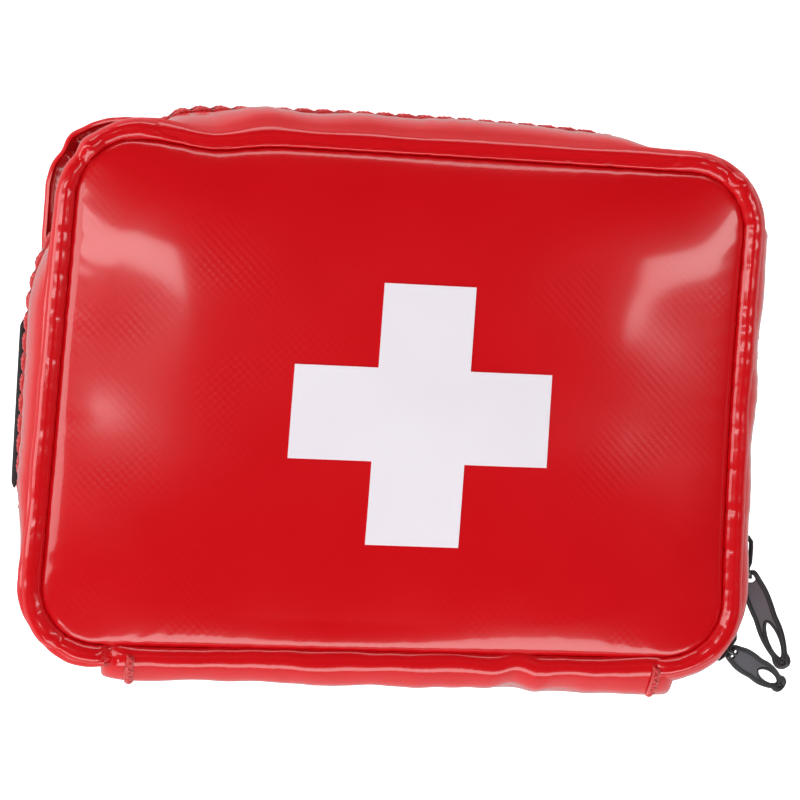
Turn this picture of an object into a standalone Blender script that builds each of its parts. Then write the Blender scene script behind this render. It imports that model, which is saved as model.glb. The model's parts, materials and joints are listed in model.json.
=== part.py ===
"""A small soft first aid kit pouch that opens like a clamshell, with its contents.

The pouch lies on its back. +X is its right side, +Y its top edge and +Z points out of the front panel. The
origin is the middle of the pouch on the face that it rests on. The walls are described by an offset, outwards
from the seam outline of the front and back panels, and a height.
"""

import math

import bmesh
import bpy
from mathutils import Matrix, Vector

# Driving dimensions, in metres
SEAM_HALF_WIDTH = 0.0760
SEAM_HALF_HEIGHT = 0.0552
CORNER_RADIUS = 0.0140
CORNER_STEPS = 6
SIDE_STEPS = 6

ZIP_Z = 0.0272  # the parting plane, where the two halves meet
COIL_GAP = 0.0009  # between the two rows of the zip coil
BAND_THICKNESS = 0.0016
BACK_Z = 0.0024  # underside of the back panel, above the belt band
FABRIC = 0.0010
CREASE_Z = 2 * ZIP_Z - 0.0072  # seam height of the front panel
CROWN = 0.0060  # how far the filled front panel stands above its seam
FOAM = 0.0023  # foam sheet with the clearance under it
DRESSING = 0.0210  # height of the wound dressing's packet
CLEARANCE = 0.0003

WELT_WIDTH = 0.0046
WELT_HEIGHT = 0.0036
EDGE_OFFSET = 0.0063  # outer face of the fabric along the zip
TAPE_OFFSET = 0.0044
TAPE_THICKNESS = 0.0005
COIL_OFFSET = 0.0052
COIL_WIDTH = 0.0014

STRIP_HALF_LENGTH = 0.0603
HINGE_OFFSET = 0.0104  # the lid turns about this line, just outside the bottom strip
HINGE_Y = -(SEAM_HALF_HEIGHT + HINGE_OFFSET)

BAND_WIDTH = 0.0380
BAND_Y = -0.0068  # middle of the belt band

CROSS_LENGTH = 0.0574
CROSS_BAR = 0.0205
CROSS_CENTRE = (0.0041, -0.0018)
CROSS_LIFT = 0.0004  # from the panel's face to the underside of the film
CROSS_FILM = 0.0005

SLIDER_LENGTH = 0.0090
SLIDER_WIDTH = 0.0060
SLIDER_INNER_PLATE = (0.0027, 0.0035)  # offsets of its two faces
SLIDER_OUTER_PLATE = (0.0068, 0.0075)
SLIDER_POST = 0.0004  # thickness between the two coil rows
BRIDGE_BAR = 0.0011
BRIDGE_RISE = 0.0022  # from the outer plate to the middle of the bridge
UPPER_SLIDER_Y = -0.0313
LOWER_SLIDER_ANGLE = -31.5  # degrees round the corner's centre, down from +X

PULL_LENGTH = 0.0250
PULL_WIDTH = 0.0056
PULL_THICKNESS = 0.0016
EYE_CENTRE = 0.0019  # from the pull's ringed end
EYE_HALF_LENGTH = 0.00095
EYE_HALF_WIDTH = 0.00125
RING_RADIUS = 0.0018
RING_WIRE = 0.0004
RING_SHIFT = 0.00065  # from the bridge bar's axis to the ring's centre
LOWER_PULL_DROOP = 38.0  # degrees below level
UPPER_PULL_DROOP = 4.0
UPPER_PULL_ROLL = 20.0  # degrees that the loose upper pull is rolled about its own length

RED = "C4161D"
DARK_RED = "A30F16"
BLACK = "1C1B1D"


def linear(hex_colour):
    """A hex colour as linear red, green, blue and alpha."""
    parts = [int(hex_colour[i : i + 2], 16) / 255 for i in (0, 2, 4)]
    return [c / 12.92 if c <= 0.04045 else ((c + 0.055) / 1.055) ** 2.4 for c in parts] + [1.0]


def material(name, hex_colour, roughness, metallic=0.0):
    """A plain Principled material."""
    made = bpy.data.materials.get(name) or bpy.data.materials.new(name)
    made.use_nodes = True
    shader = made.node_tree.nodes["Principled BSDF"]
    shader.inputs["Base Color"].default_value = linear(hex_colour)
    shader.inputs["Roughness"].default_value = roughness
    shader.inputs["Metallic"].default_value = metallic
    made.diffuse_color = linear(hex_colour)
    return made


def clear_scene():
    """Remove whatever the scene starts with."""
    for found in list(bpy.data.objects):
        bpy.data.objects.remove(found, do_unlink=True)


def add(name, bm, made, origin=(0, 0, 0), smooth=True):
    """Link a bmesh, given in world places, as an object whose own origin is at a chosen point."""
    bmesh.ops.recalc_face_normals(bm, faces=bm.faces[:])
    bmesh.ops.translate(bm, verts=bm.verts[:], vec=-Vector(origin))
    mesh = bpy.data.meshes.new(name)
    bm.to_mesh(mesh)
    bm.free()
    made_object = bpy.data.objects.new(name, mesh)
    made_object.location = origin
    bpy.context.scene.collection.objects.link(made_object)
    mesh.materials.append(made)
    if smooth:
        mesh.shade_smooth()
        mesh.set_sharp_from_angle(angle=math.radians(35))
    return made_object


def outline(offset=0.0, corner_steps=CORNER_STEPS, side_steps=SIDE_STEPS):
    """The seam outline moved outwards: corner arcs joined by straight sides, anticlockwise.

    The first point is the left end of the straight bottom side.
    """
    radius = CORNER_RADIUS + offset
    x, y = SEAM_HALF_WIDTH - CORNER_RADIUS, SEAM_HALF_HEIGHT - CORNER_RADIUS
    points = []
    corners = ((-x, -y, 270), (x, -y, 270), (x, y, 0), (-x, y, 90), (-x, -y, 180))
    for i, (cx, cy, start) in enumerate(corners):
        if i == 0:
            arc = [start]
        else:
            arc = [start + 90 * k / corner_steps for k in range(corner_steps + 1)]
        new = [
            (cx + radius * math.cos(math.radians(a)), cy + radius * math.sin(math.radians(a)))
            for a in arc
        ]
        if points:
            last = points[-1]
            for k in range(1, side_steps):
                t = k / side_steps
                points.append((last[0] + (new[0][0] - last[0]) * t, last[1] + (new[0][1] - last[1]) * t))
        points += new
    return points[:-1]


def half_loop(offset):
    """The part of the outline that the zip runs along: right, top and left sides with all four corners."""
    ring = outline(offset)
    return ring[SIDE_STEPS:] + [ring[0]]


def bridge(bm, rows, closed):
    """Quads between neighbouring rows of vertices. Each row is a closed section."""
    pairs = list(zip(rows, rows[1:]))
    if closed:
        pairs.append((rows[-1], rows[0]))
    for a, b in pairs:
        for k in range(len(a)):
            j = (k + 1) % len(a)
            bm.faces.new((a[k], a[j], b[j], b[k]))


def swept_wall(name, section, made, whole=False):
    """Sweep a section, a closed list of (offset, height), round the whole outline or along the zip's part."""
    bm = bmesh.new()
    path = outline if whole else half_loop
    loops = [path(offset) for offset, _ in section]
    rows = []
    for i in range(len(loops[0])):
        rows.append([bm.verts.new((loop[i][0], loop[i][1], z)) for loop, (_, z) in zip(loops, section)])
    bridge(bm, rows, whole)
    if not whole:
        bm.faces.new(rows[0])
        bm.faces.new(rows[-1])
    return add(name, bm, made)


def wall_section(line, thickness):
    """A closed section from its outer line of (offset, height), made thicker inwards."""
    return list(line) + [(offset - thickness, z) for offset, z in reversed(line)]


def box_section(offset, width, low, high):
    """A rectangular section between two offsets and two heights."""
    return [(offset, low), (offset + width, low), (offset + width, high), (offset, high)]


def oval_section(offset, width, low, high, steps=8):
    """An oval section between two offsets and two heights."""
    middle, half = offset + width / 2, width / 2
    centre, rise = (low + high) / 2, (high - low) / 2
    angles = [2 * math.pi * k / steps for k in range(steps)]
    return [(middle + half * math.cos(a), centre + rise * math.sin(a)) for a in angles]


def mirrored(line):
    """A wall line of the back half, seen in the zip plane, for the front half."""
    return [(offset, 2 * ZIP_Z - z) for offset, z in line]


def crown_height(x, y):
    """Height of the filled front panel's outer face above its seam: full in the middle, steep at the seam."""
    across = min(1.0, abs(x) / SEAM_HALF_WIDTH)
    along = min(1.0, abs(y) / SEAM_HALF_HEIGHT)
    return CROWN * ((1 - across**3.2) * (1 - along**3.0)) ** 0.62


def domed_sheet(name, made, rim_offset, lift, thickness, rings=6):
    """A sheet with the outline's shape that follows the crown."""
    bm = bmesh.new()
    rim = outline(rim_offset, 4, 4)
    sides = []
    for level in (0.0, -thickness):
        rows = []
        for r in range(rings):
            t = 1 - (r / rings) ** 1.15
            row = []
            for x, y in rim:
                z = CREASE_Z + lift + level + crown_height(x * t, y * t)
                row.append(bm.verts.new((x * t, y * t, z)))
            rows.append(row)
        centre = bm.verts.new((0, 0, CREASE_Z + lift + level + CROWN))
        bridge(bm, rows, False)
        for k in range(len(rim)):
            bm.faces.new((rows[-1][k], rows[-1][(k + 1) % len(rim)], centre))
        sides.append(rows[0])
    for k in range(len(rim)):
        j = (k + 1) % len(rim)
        bm.faces.new((sides[0][k], sides[0][j], sides[1][j], sides[1][k]))
    return add(name, bm, made)


def flat_sheet(name, made, offset, low, high):
    """A flat sheet with the outline's shape."""
    bm = bmesh.new()
    ring = outline(offset, 4, 2)
    face = bm.faces.new([bm.verts.new((x, y, low)) for x, y in ring])
    lifted = bmesh.ops.extrude_face_region(bm, geom=[face])
    moved = [v for v in lifted["geom"] if isinstance(v, bmesh.types.BMVert)]
    bmesh.ops.translate(bm, verts=moved, vec=(0, 0, high - low))
    return add(name, bm, made)


def box(bm, low, high):
    """An axis-aligned box in a bmesh."""
    size = Vector(high) - Vector(low)
    place = Matrix.Translation((Vector(low) + Vector(high)) / 2) @ Matrix.Diagonal((*size, 1))
    return bmesh.ops.create_cube(bm, size=1, matrix=place)["verts"]


def slab(name, made, low, high, round_by=0.0, segments=2):
    """A packet: a box whose edges are rounded."""
    bm = bmesh.new()
    box(bm, low, high)
    if round_by:
        bmesh.ops.bevel(
            bm, geom=bm.edges[:], offset=round_by, segments=segments, profile=0.5, affect="EDGES"
        )
    return add(name, bm, made)


def turned(name, made, profile, place, steps=28, origin=(0, 0, 0)):
    """A turned piece: a closed profile of (radius, height) spun about its own Z, then placed."""
    bm = bmesh.new()
    rows = []
    for k in range(steps):
        a = 2 * math.pi * k / steps
        rows.append([bm.verts.new((r * math.cos(a), r * math.sin(a), z)) for r, z in profile])
    bridge(bm, rows, True)
    bmesh.ops.transform(bm, matrix=place, verts=bm.verts[:])
    return add(name, bm, made, origin)


def plate(points, thickness, holes=()):
    """A bmesh of a flat plate in its own XY plane, from an outline and round-cornered holes."""
    bm = bmesh.new()
    loops = []
    for loop in (points, *holes):
        verts = [bm.verts.new((x, y, -thickness / 2)) for x, y in loop]
        loops.append([bm.edges.new((verts[k - 1], verts[k])) for k in range(len(verts))])
    if holes:
        bmesh.ops.triangle_fill(bm, use_beauty=True, edges=[e for loop in loops for e in loop])
    else:
        bm.faces.new([e.verts[1] for e in loops[0]])
    lifted = bmesh.ops.extrude_face_region(bm, geom=bm.faces[:])
    moved = [v for v in lifted["geom"] if isinstance(v, bmesh.types.BMVert)]
    bmesh.ops.translate(bm, verts=moved, vec=(0, 0, thickness))
    return bm


# The pouch ---------------------------------------------------------------------------------------------------


def back_wall_line():
    """Outer line of the back half's side wall: narrow at the panel, widest along the zip."""
    return [
        (0.0022, 0.0063),
        (0.0042, 0.0088),
        (0.0057, 0.0130),
        (EDGE_OFFSET, 0.0185),
        (EDGE_OFFSET, 0.0234),
    ]


def front_wall_line():
    """Outer line of the front half's side wall."""
    return [
        (0.0022, 0.0450),
        (0.0046, 0.0430),
        (0.0060, 0.0392),
        (0.0066, 0.0350),
        (EDGE_OFFSET, 2 * ZIP_Z - 0.0234),
    ]


def make_shell(fabric, dark_fabric, foam):
    """Panels, walls and welts of both halves."""
    flat_sheet("back_panel", fabric, -0.0003, BACK_Z, BACK_Z + FABRIC)
    flat_sheet("back_stiffener", foam, -0.0030, BACK_Z + FABRIC + CLEARANCE, BACK_Z + FABRIC + FOAM)
    low = BACK_Z - 0.0002
    swept_wall("back_welt", oval_section(0.0002, WELT_WIDTH, low, low + WELT_HEIGHT), fabric, True)
    swept_wall("back_gusset", wall_section(back_wall_line(), FABRIC), fabric)

    domed_sheet("front_panel", fabric, -0.0003, 0.0, 0.0012)
    low = CREASE_Z - WELT_HEIGHT / 2
    swept_wall("front_welt", oval_section(0.0002, WELT_WIDTH, low, low + WELT_HEIGHT), fabric, True)
    swept_wall("front_gusset", wall_section(front_wall_line(), FABRIC), fabric)

    for side in ("back", "front"):
        height = 0.0225 if side == "back" else 2 * ZIP_Z - 0.0225
        row = oval_section(EDGE_OFFSET + 0.0002, 0.0008, height - 0.0004, height + 0.0004, 6)
        swept_wall(f"{side}_topstitch", row, dark_fabric)


def make_cross(film):
    """The equal-armed cross, a film that follows the crown of the front panel."""
    centre = Vector(CROSS_CENTRE)
    a, b = CROSS_BAR / 2, CROSS_LENGTH / 2
    stops = [-b, -(a + b) / 2, -a, 0.0, a, (a + b) / 2, b]
    bm = bmesh.new()
    grid = {}
    for level in (0, 1):
        for i, x in enumerate(stops):
            for j, y in enumerate(stops):
                if min(abs(x), abs(y)) > a + 1e-6:
                    continue
                px, py = centre.x + x, centre.y + y
                z = CREASE_Z + crown_height(px, py) + CROSS_LIFT + CROSS_FILM * level
                grid[level, i, j] = bm.verts.new((px, py, z))
    cells = []
    for i in range(len(stops) - 1):
        for j in range(len(stops) - 1):
            corners = [(i, j), (i + 1, j), (i + 1, j + 1), (i, j + 1)]
            if all((0, *c) in grid for c in corners):
                cells.append(corners)
    edges = {}
    for corners in cells:
        for level in (0, 1):
            bm.faces.new([grid[(level, *c)] for c in corners])
        for k in range(4):
            key = frozenset((corners[k], corners[(k + 1) % 4]))
            edges[key] = edges.get(key, 0) + 1
    for key, count in edges.items():
        if count == 1:
            c, d = sorted(key)
            bm.faces.new((grid[(0, *c)], grid[(0, *d)], grid[(1, *d)], grid[(1, *c)]))
    return add("white_cross", bm, film, smooth=False)


def make_zip(tape, nylon, metal):
    """Both tapes and coil rows, which leave a narrow gap for the sliders, and the two end stops."""
    half_gap = COIL_GAP / 2
    for side in ("back", "front"):
        tape_line = box_section(TAPE_OFFSET, TAPE_THICKNESS, 0.0195, 0.0257)
        high = ZIP_Z - half_gap
        coil_line = oval_section(COIL_OFFSET, COIL_WIDTH, high - 0.0013, high, 6)
        if side == "front":
            tape_line, coil_line = mirrored(tape_line), mirrored(coil_line)
        swept_wall(f"zip_tape_{side}", tape_line, tape)
        swept_wall(f"zip_coil_{side}", coil_line, nylon)
    for name, turn in (("zip_stop_left", -1), ("zip_stop_right", 1)):
        x = turn * (SEAM_HALF_WIDTH - CORNER_RADIUS - 0.0008)
        low = (x - 0.0004, -(SEAM_HALF_HEIGHT + COIL_OFFSET + 0.0016), ZIP_Z - 0.0046)
        high = (x + 0.0004, -(SEAM_HALF_HEIGHT + COIL_OFFSET - 0.0002), ZIP_Z - 0.0006)
        slab(name, metal, low, high, 0.0002, 1)


def strip_line(side):
    """Outer line (y, z) of one half of the bottom strip, from its panel's seam out to the hinge line."""
    if side == "back":
        line = [(0.0022, 0.0063), (0.0055, 0.0095), (0.0080, 0.0150), (0.0092, 0.0210), (0.0096, ZIP_Z - 0.0002)]
    else:
        line = [(0.0024, 0.0450), (0.0066, 0.0424), (0.0088, 0.0375), (0.0094, 0.0320), (0.0096, ZIP_Z + 0.0002)]
    return [(-(SEAM_HALF_HEIGHT + offset), z) for offset, z in line]


def make_hinge_strip(fabric, thread):
    """The doubled strip along the bottom wall, in two halves that meet at the hinge line, and its bartacks."""
    thickness = 0.0018
    for side in ("back", "front"):
        outer = strip_line(side)
        section = outer + [(y + thickness, z) for y, z in reversed(outer)]
        bm = bmesh.new()
        rows = []
        for x in [STRIP_HALF_LENGTH * (k / 4 - 1) for k in range(9)]:
            rows.append([bm.verts.new((x, y, z)) for y, z in section])
        bridge(bm, rows, False)
        bm.faces.new(rows[0])
        bm.faces.new(rows[-1])
        hinge = (0, HINGE_Y, ZIP_Z) if side == "front" else (0, 0, 0)
        add(f"hinge_strip_{side}", bm, fabric, hinge)
        for name, turn in (("left", -1), ("right", 1)):
            x = turn * (STRIP_HALF_LENGTH - 0.0054)
            bm = bmesh.new()
            rows = []
            for y, z in outer[1:4]:
                corners = [(x - 0.0008, 0.0), (x + 0.0008, 0.0), (x + 0.0005, 0.0006), (x - 0.0005, 0.0006)]
                rows.append([bm.verts.new((cx, y - CLEARANCE / 2 - d, z)) for cx, d in corners])
            bridge(bm, rows, False)
            bm.faces.new(rows[0])
            bm.faces.new(rows[-1])
            add(f"bartack_{side}_{name}", bm, thread, hinge)


def make_belt_band(webbing):
    """Flat webbing across the back, turned up at both sides onto the back half's walls."""
    side = SEAM_HALF_WIDTH
    outside = side + EDGE_OFFSET + CLEARANCE + BAND_THICKNESS
    line = [
        (0.0, 0.0),
        (side + 0.0030, 0.0),
        (side + 0.0058, 0.0012),
        (side + 0.0072, 0.0040),
        (outside - 0.0004, 0.0120),
        (outside, 0.0180),
        (outside, 0.0212),
    ]
    outer = [(-x, z) for x, z in reversed(line[1:])] + line
    inner = []
    for k, (x, z) in enumerate(outer):
        before = Vector(outer[max(0, k - 1)])
        after = Vector(outer[min(len(outer) - 1, k + 1)])
        along = (after - before).normalized()
        inner.append((x - along.y * BAND_THICKNESS, z + along.x * BAND_THICKNESS))
    bm = bmesh.new()
    rows = []
    for (x, z), (u, w) in zip(outer, inner):
        low, high = BAND_Y - BAND_WIDTH / 2, BAND_Y + BAND_WIDTH / 2
        corners = ((x, low, z), (x, high, z), (u, high, w), (u, low, w))
        rows.append([bm.verts.new(corner) for corner in corners])
    bridge(bm, rows, False)
    bm.faces.new(rows[0])
    bm.faces.new(rows[-1])
    return add("belt_band", bm, webbing, smooth=False)


# Sliders and pulls -------------------------------------------------------------------------------------------


def slider_place(name):
    """World place of a slider: its local X points out of the wall and its local Y along the zip, upwards."""
    if name == "upper":
        return Matrix.Translation((SEAM_HALF_WIDTH, UPPER_SLIDER_Y, ZIP_Z))
    centre = Vector((SEAM_HALF_WIDTH - CORNER_RADIUS, -(SEAM_HALF_HEIGHT - CORNER_RADIUS), ZIP_Z))
    turn = Matrix.Rotation(math.radians(LOWER_SLIDER_ANGLE), 4, "Z")
    return Matrix.Translation(centre) @ turn @ Matrix.Translation((CORNER_RADIUS, 0, 0))


def bridge_line():
    """The slider's bridge as (out, along): up from the plate, along the zip, and back down on a slant."""
    foot = SLIDER_OUTER_PLATE[1] - 0.0004
    rise = SLIDER_OUTER_PLATE[1] + BRIDGE_RISE
    return [
        (foot, 0.0040),
        (rise - 0.0008, 0.0036),
        (rise - 0.0001, 0.0026),
        (rise, 0.0010),
        (rise, -0.0022),
        (rise - 0.0003, -0.0032),
        (foot, -0.0043),
    ]


def make_slider(name, metal, origin):
    """Slider body: two plates joined by a post between the coil rows, and the bridge that holds the pull."""
    bm = bmesh.new()
    half = SLIDER_LENGTH / 2
    wide = SLIDER_WIDTH / 2

    shield = [
        (-half, -wide * 0.62),
        (-half * 0.5, -wide),
        (half * 0.55, -wide),
        (half, -wide * 0.45),
        (half, wide * 0.45),
        (half * 0.55, wide),
        (-half * 0.5, wide),
        (-half, wide * 0.62),
    ]
    parts = []
    for low, high in (SLIDER_INNER_PLATE, SLIDER_OUTER_PLATE):
        rows = [[bm.verts.new((x, y, z)) for y, z in shield] for x in (low, high)]
        bridge(bm, rows, False)
        bm.faces.new(rows[0])
        bm.faces.new(rows[1])
    parts.append(add(f"{name}_slider", bm, metal))
    post = bmesh.new()
    depth = (SLIDER_INNER_PLATE[1] - 0.0004, SLIDER_OUTER_PLATE[0] + 0.0003)
    box(post, (depth[0], 0.0010, -SLIDER_POST / 2), (depth[1], 0.0042, SLIDER_POST / 2))
    parts.append(add("joined_post", post, metal))
    bar = bmesh.new()
    rows = []
    line = bridge_line()
    for k, (x, y) in enumerate(line):
        before = Vector(line[max(0, k - 1)])
        after = Vector(line[min(len(line) - 1, k + 1)])
        along = (after - before).normalized()
        side = Vector((along.y, -along.x))
        ring = []
        for n in range(10):
            a = 2 * math.pi * n / 10
            out = side * math.cos(a) * BRIDGE_BAR / 2
            ring.append(bar.verts.new((x + out.x, y + out.y, math.sin(a) * BRIDGE_BAR / 2)))
        rows.append(ring)
    bridge(bar, rows, False)
    bar.faces.new(rows[0])
    bar.faces.new(rows[-1])
    parts.append(add("joined_bridge", bar, metal))

    body = parts[0]
    for part in parts[1:]:
        part.hide_render = True
        part.display_type = "WIRE"
        join = body.modifiers.new(part.name, "BOOLEAN")
        join.operation = "UNION"
        join.solver = "EXACT"
        join.object = part
    for part in parts:
        part.data.transform(Matrix.Translation(-Vector(origin)) @ slider_place(name))
        part.location = origin
    return body


def pull_frame(name):
    """Pivot, direction of the pull, and the axis that it swings about, in world places."""
    place = slider_place(name)
    line = bridge_line()
    if name == "upper":
        a, b = Vector(line[-2]), Vector(line[-1])
        spot = a.lerp(b, 0.20)
        axis = Vector((a.x - b.x, a.y - b.y, 0)).normalized()
        along = Vector((axis.y, -axis.x, 0))
    else:
        a, b = Vector(line[3]), Vector(line[4])
        spot = a.lerp(b, 0.45)
        axis = Vector((0, 1, 0))
        along = Vector((1, 0, 0))
    droop = UPPER_PULL_DROOP if name == "upper" else LOWER_PULL_DROOP
    along = Matrix.Rotation(math.radians(droop), 3, axis) @ along
    pivot = place @ Vector((spot.x, spot.y, 0))
    turn = place.to_3x3()
    return pivot, turn @ along, turn @ axis


def pull_outline():
    """Half outline of a pull, as (along, half width), from its ringed end to its knobbed tip."""
    wide = PULL_WIDTH / 2
    return [
        (0.0, 0.0013),
        (0.0006, 0.0019),
        (0.0032, 0.0021),
        (0.0060, wide * 0.96),
        (0.0120, wide),
        (0.0170, wide * 0.93),
        (0.0205, wide * 0.72),
        (0.0226, wide * 0.50),
        (0.0238, wide * 0.46),
        (0.0246, wide * 0.36),
        (PULL_LENGTH, 0.0004),
    ]


def make_pull(name, plastic, metal, roll):
    """A pull tab with its eye and a lens-shaped finger hole, and the small ring that holds it on the bridge."""
    pivot, along, axis = pull_frame(name)
    side = along.cross(axis).normalized()
    ring_frame = Matrix((along, side, axis)).transposed().to_4x4()
    ring_place = Matrix.Translation(pivot + along * RING_SHIFT) @ ring_frame
    profile = [
        (RING_RADIUS + RING_WIRE * math.cos(a), RING_WIRE * math.sin(a))
        for a in [2 * math.pi * k / 8 for k in range(8)]
    ]
    turned(f"{name}_pull_ring", metal, profile, ring_place, 20, pivot)

    half = pull_outline()
    points = [(x, y) for x, y in half] + [(x, -y) for x, y in reversed(half)]
    start, end, wide = 0.0132, 0.0222, 0.00095
    steps = 6
    lens = []
    for turn in (1, -1):
        for k in range(steps):
            t = k / steps if turn > 0 else 1 - k / steps
            x = start + (end - start) * t
            lens.append((x, turn * wide * math.sin(math.pi * t)))
    eye = [
        (EYE_CENTRE + EYE_HALF_LENGTH * math.cos(a), EYE_HALF_WIDTH * math.sin(a))
        for a in [2 * math.pi * k / 10 for k in range(10)]
    ]
    bm = plate(points, PULL_THICKNESS, (lens, eye))
    reach = BRIDGE_BAR / 2 + CLEARANCE
    across = side.cross(along)
    pull_turn = Matrix((along, across, side)).transposed().to_4x4()
    rolled = Matrix.Rotation(math.radians(roll), 4, "X")
    place = Matrix.Translation(pivot + along * reach) @ pull_turn @ rolled
    bmesh.ops.transform(bm, matrix=place, verts=bm.verts[:])
    add(f"{name}_pull", bm, plastic, pivot)


# Inside ------------------------------------------------------------------------------------------------------


def make_lid_pocket(mesh_fabric, binding, card):
    """The flat pocket sewn inside the front panel, its elastic edge, and the card that it holds."""
    slab("lid_pocket", mesh_fabric, (-0.066, -0.046, 0.0415), (0.066, 0.028, 0.0421), 0.0)
    slab("pocket_binding", binding, (-0.066, 0.0283, 0.0410), (0.066, 0.0363, 0.0424), 0.0003, 1)
    slab("first_aid_card", card, (-0.045, -0.040, 0.0426), (0.045, 0.024, 0.0432), 0.0)


def roll_profile(radius, length, core=0.0032):
    """Closed profile of a wound roll with softened ends and a small hollow core."""
    half = length / 2
    return [
        (core, -half + 0.0006),
        (radius * 0.55, -half),
        (radius - 0.0016, -half),
        (radius, -half + 0.0016),
        (radius, half - 0.0016),
        (radius - 0.0016, half),
        (radius * 0.55, half),
        (core, half - 0.0006),
    ]


def make_contents(gauze, paper, foil, glove, film, tape, core, skin):
    """The supplies in the back half, each a separate packet or roll."""
    floor = BACK_Z + FABRIC + FOAM + CLEARANCE
    lie = Matrix.Rotation(math.radians(90), 4, "Y")
    for name, y, radius, length in (("large", 0.0310, 0.0150, 0.0620), ("small", 0.0025, 0.0130, 0.0600)):
        place = Matrix.Translation((-0.0360, y, floor + radius)) @ lie
        turned(f"bandage_roll_{name}", gauze, roll_profile(radius, length), place)
    slab("wound_dressing", paper, (-0.066, -0.047, floor), (-0.006, -0.013, floor + DRESSING), 0.003)
    bandage, middle = 0.0090, 0.0085  # heights of the two lower layers on the right
    slab("triangular_bandage", gauze, (0.001, -0.047, floor), (0.066, 0.046, floor + bandage), 0.002)
    layer = floor + bandage + CLEARANCE
    slab("rescue_blanket", foil, (0.003, -0.002, layer), (0.066, 0.046, layer + middle), 0.002)
    slab("gloves_packet", glove, (0.003, -0.047, layer), (0.066, -0.005, layer + middle), 0.002)
    layer += middle + CLEARANCE
    for k in range(3):
        low = layer + k * 0.0028
        slab(f"gauze_pack_{k + 1}", paper, (0.006, -0.0455, low), (0.046, -0.0055, low + 0.0025), 0.0008, 1)
    for k in range(2):
        low = layer + k * 0.0022
        slab(f"wipe_sachet_{k + 1}", film, (0.048, -0.046, low), (0.066, -0.006, low + 0.0019), 0.0005, 1)
    slab("plaster_strips", skin, (0.003, 0.004, layer), (0.022, 0.046, layer + 0.0040), 0.0008, 1)
    centre = Matrix.Translation((0.0455, 0.0260, layer + 0.0062))
    turned("tape_core", core, [(0.0112, -0.0061), (0.0126, -0.0061), (0.0126, 0.0061), (0.0112, 0.0061)], centre)
    wound = [(0.0129, -0.0058), (0.0195, -0.0058), (0.0200, -0.0053), (0.0200, 0.0053), (0.0195, 0.0058)]
    turned("tape_roll", tape, wound + [(0.0129, 0.0058)], centre)
    return floor


SCISSORS_PIVOT = (-0.0120, -0.0220)
BLADE = 0.0011
BLADE_GAP = 0.00015  # between the two halves


def make_scissors(steel, low):
    """Small scissors: two flat halves on a rivet. The lower half stays put and the upper one turns."""
    pivot = Vector((*SCISSORS_PIVOT, low))
    for name, level, turn in (("lower", 0, 1), ("upper", 1, -1)):
        points = [
            (-0.0440, 0.0004 * turn),
            (-0.0430, 0.0016 * turn),
            (-0.0080, 0.0036 * turn),
            (0.0, 0.0040 * turn),
            (0.0100, 0.0028 * turn),
            (0.0180, -0.0012 * turn),
            (0.0240, -0.0040 * turn),
        ]
        handle = Vector((0.0335, -0.0085 * turn))
        for k in range(11):
            a = math.radians(155 - 31 * k) * turn
            points.append((handle.x + 0.0105 * math.cos(a), handle.y + 0.0078 * math.sin(a)))
        points += [(0.0160, -0.0075 * turn), (0.0060, -0.0034 * turn), (0.0, -0.0036 * turn), (-0.0100, -0.0012 * turn)]
        hole = []
        for k in range(12):
            a = 2 * math.pi * k / 12
            hole.append((handle.x + 0.0078 * math.cos(a), handle.y + 0.0052 * math.sin(a)))
        rivet_hole = [(0.0016 * math.cos(math.pi * k / 5), 0.0016 * math.sin(math.pi * k / 5)) for k in range(10)]
        bm = plate(points, BLADE, (hole, rivet_hole))
        bmesh.ops.translate(bm, verts=bm.verts[:], vec=(0, 0, BLADE / 2 + level * (BLADE + BLADE_GAP)))
        bmesh.ops.translate(bm, verts=bm.verts[:], vec=pivot)
        add(f"scissors_half_{name}", bm, steel, pivot)
    height = 2 * BLADE + BLADE_GAP
    profile = [(0.00145, 0.0), (0.00145, height + 0.0003), (0.0026, height + 0.0003), (0.0021, height + 0.0010)]
    bm = bmesh.new()
    steps = 16
    rows = []
    for r, z in profile:
        row = []
        for k in range(steps):
            a = 2 * math.pi * k / steps
            row.append(bm.verts.new((pivot.x + r * math.cos(a), pivot.y + r * math.sin(a), pivot.z + z)))
        rows.append(row)
    bridge(bm, rows, False)
    bm.faces.new(rows[0])
    bm.faces.new(rows[-1])
    add("scissors_rivet", bm, steel, pivot)


def make_tweezers(steel, low):
    """Tweezers lying on their side: two bowed arms of one strip, joined at the back end."""
    start = Vector((-0.0640, -0.0170, low))
    length, wide, bow = 0.0560, 0.0022, 0.0034
    arm, tip_gap, steps = 0.0009, 0.0003, 8
    outer = []
    for k in range(steps + 1):
        t = k / steps
        outer.append((length * t, bow * math.sin(math.pi * (0.06 + 0.88 * t)) + 0.0004))
    inner = [(x, max(y - arm, tip_gap)) for x, y in outer[1:]]
    one_arm = [*outer, *reversed(inner)]
    points = [(-0.0008, 0.0), *one_arm, *[(x, -y) for x, y in reversed(one_arm)]]
    bm = plate(points, wide)
    bmesh.ops.translate(bm, verts=bm.verts[:], vec=start + Vector((0, 0, wide / 2)))
    add("tweezers", bm, steel)


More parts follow.
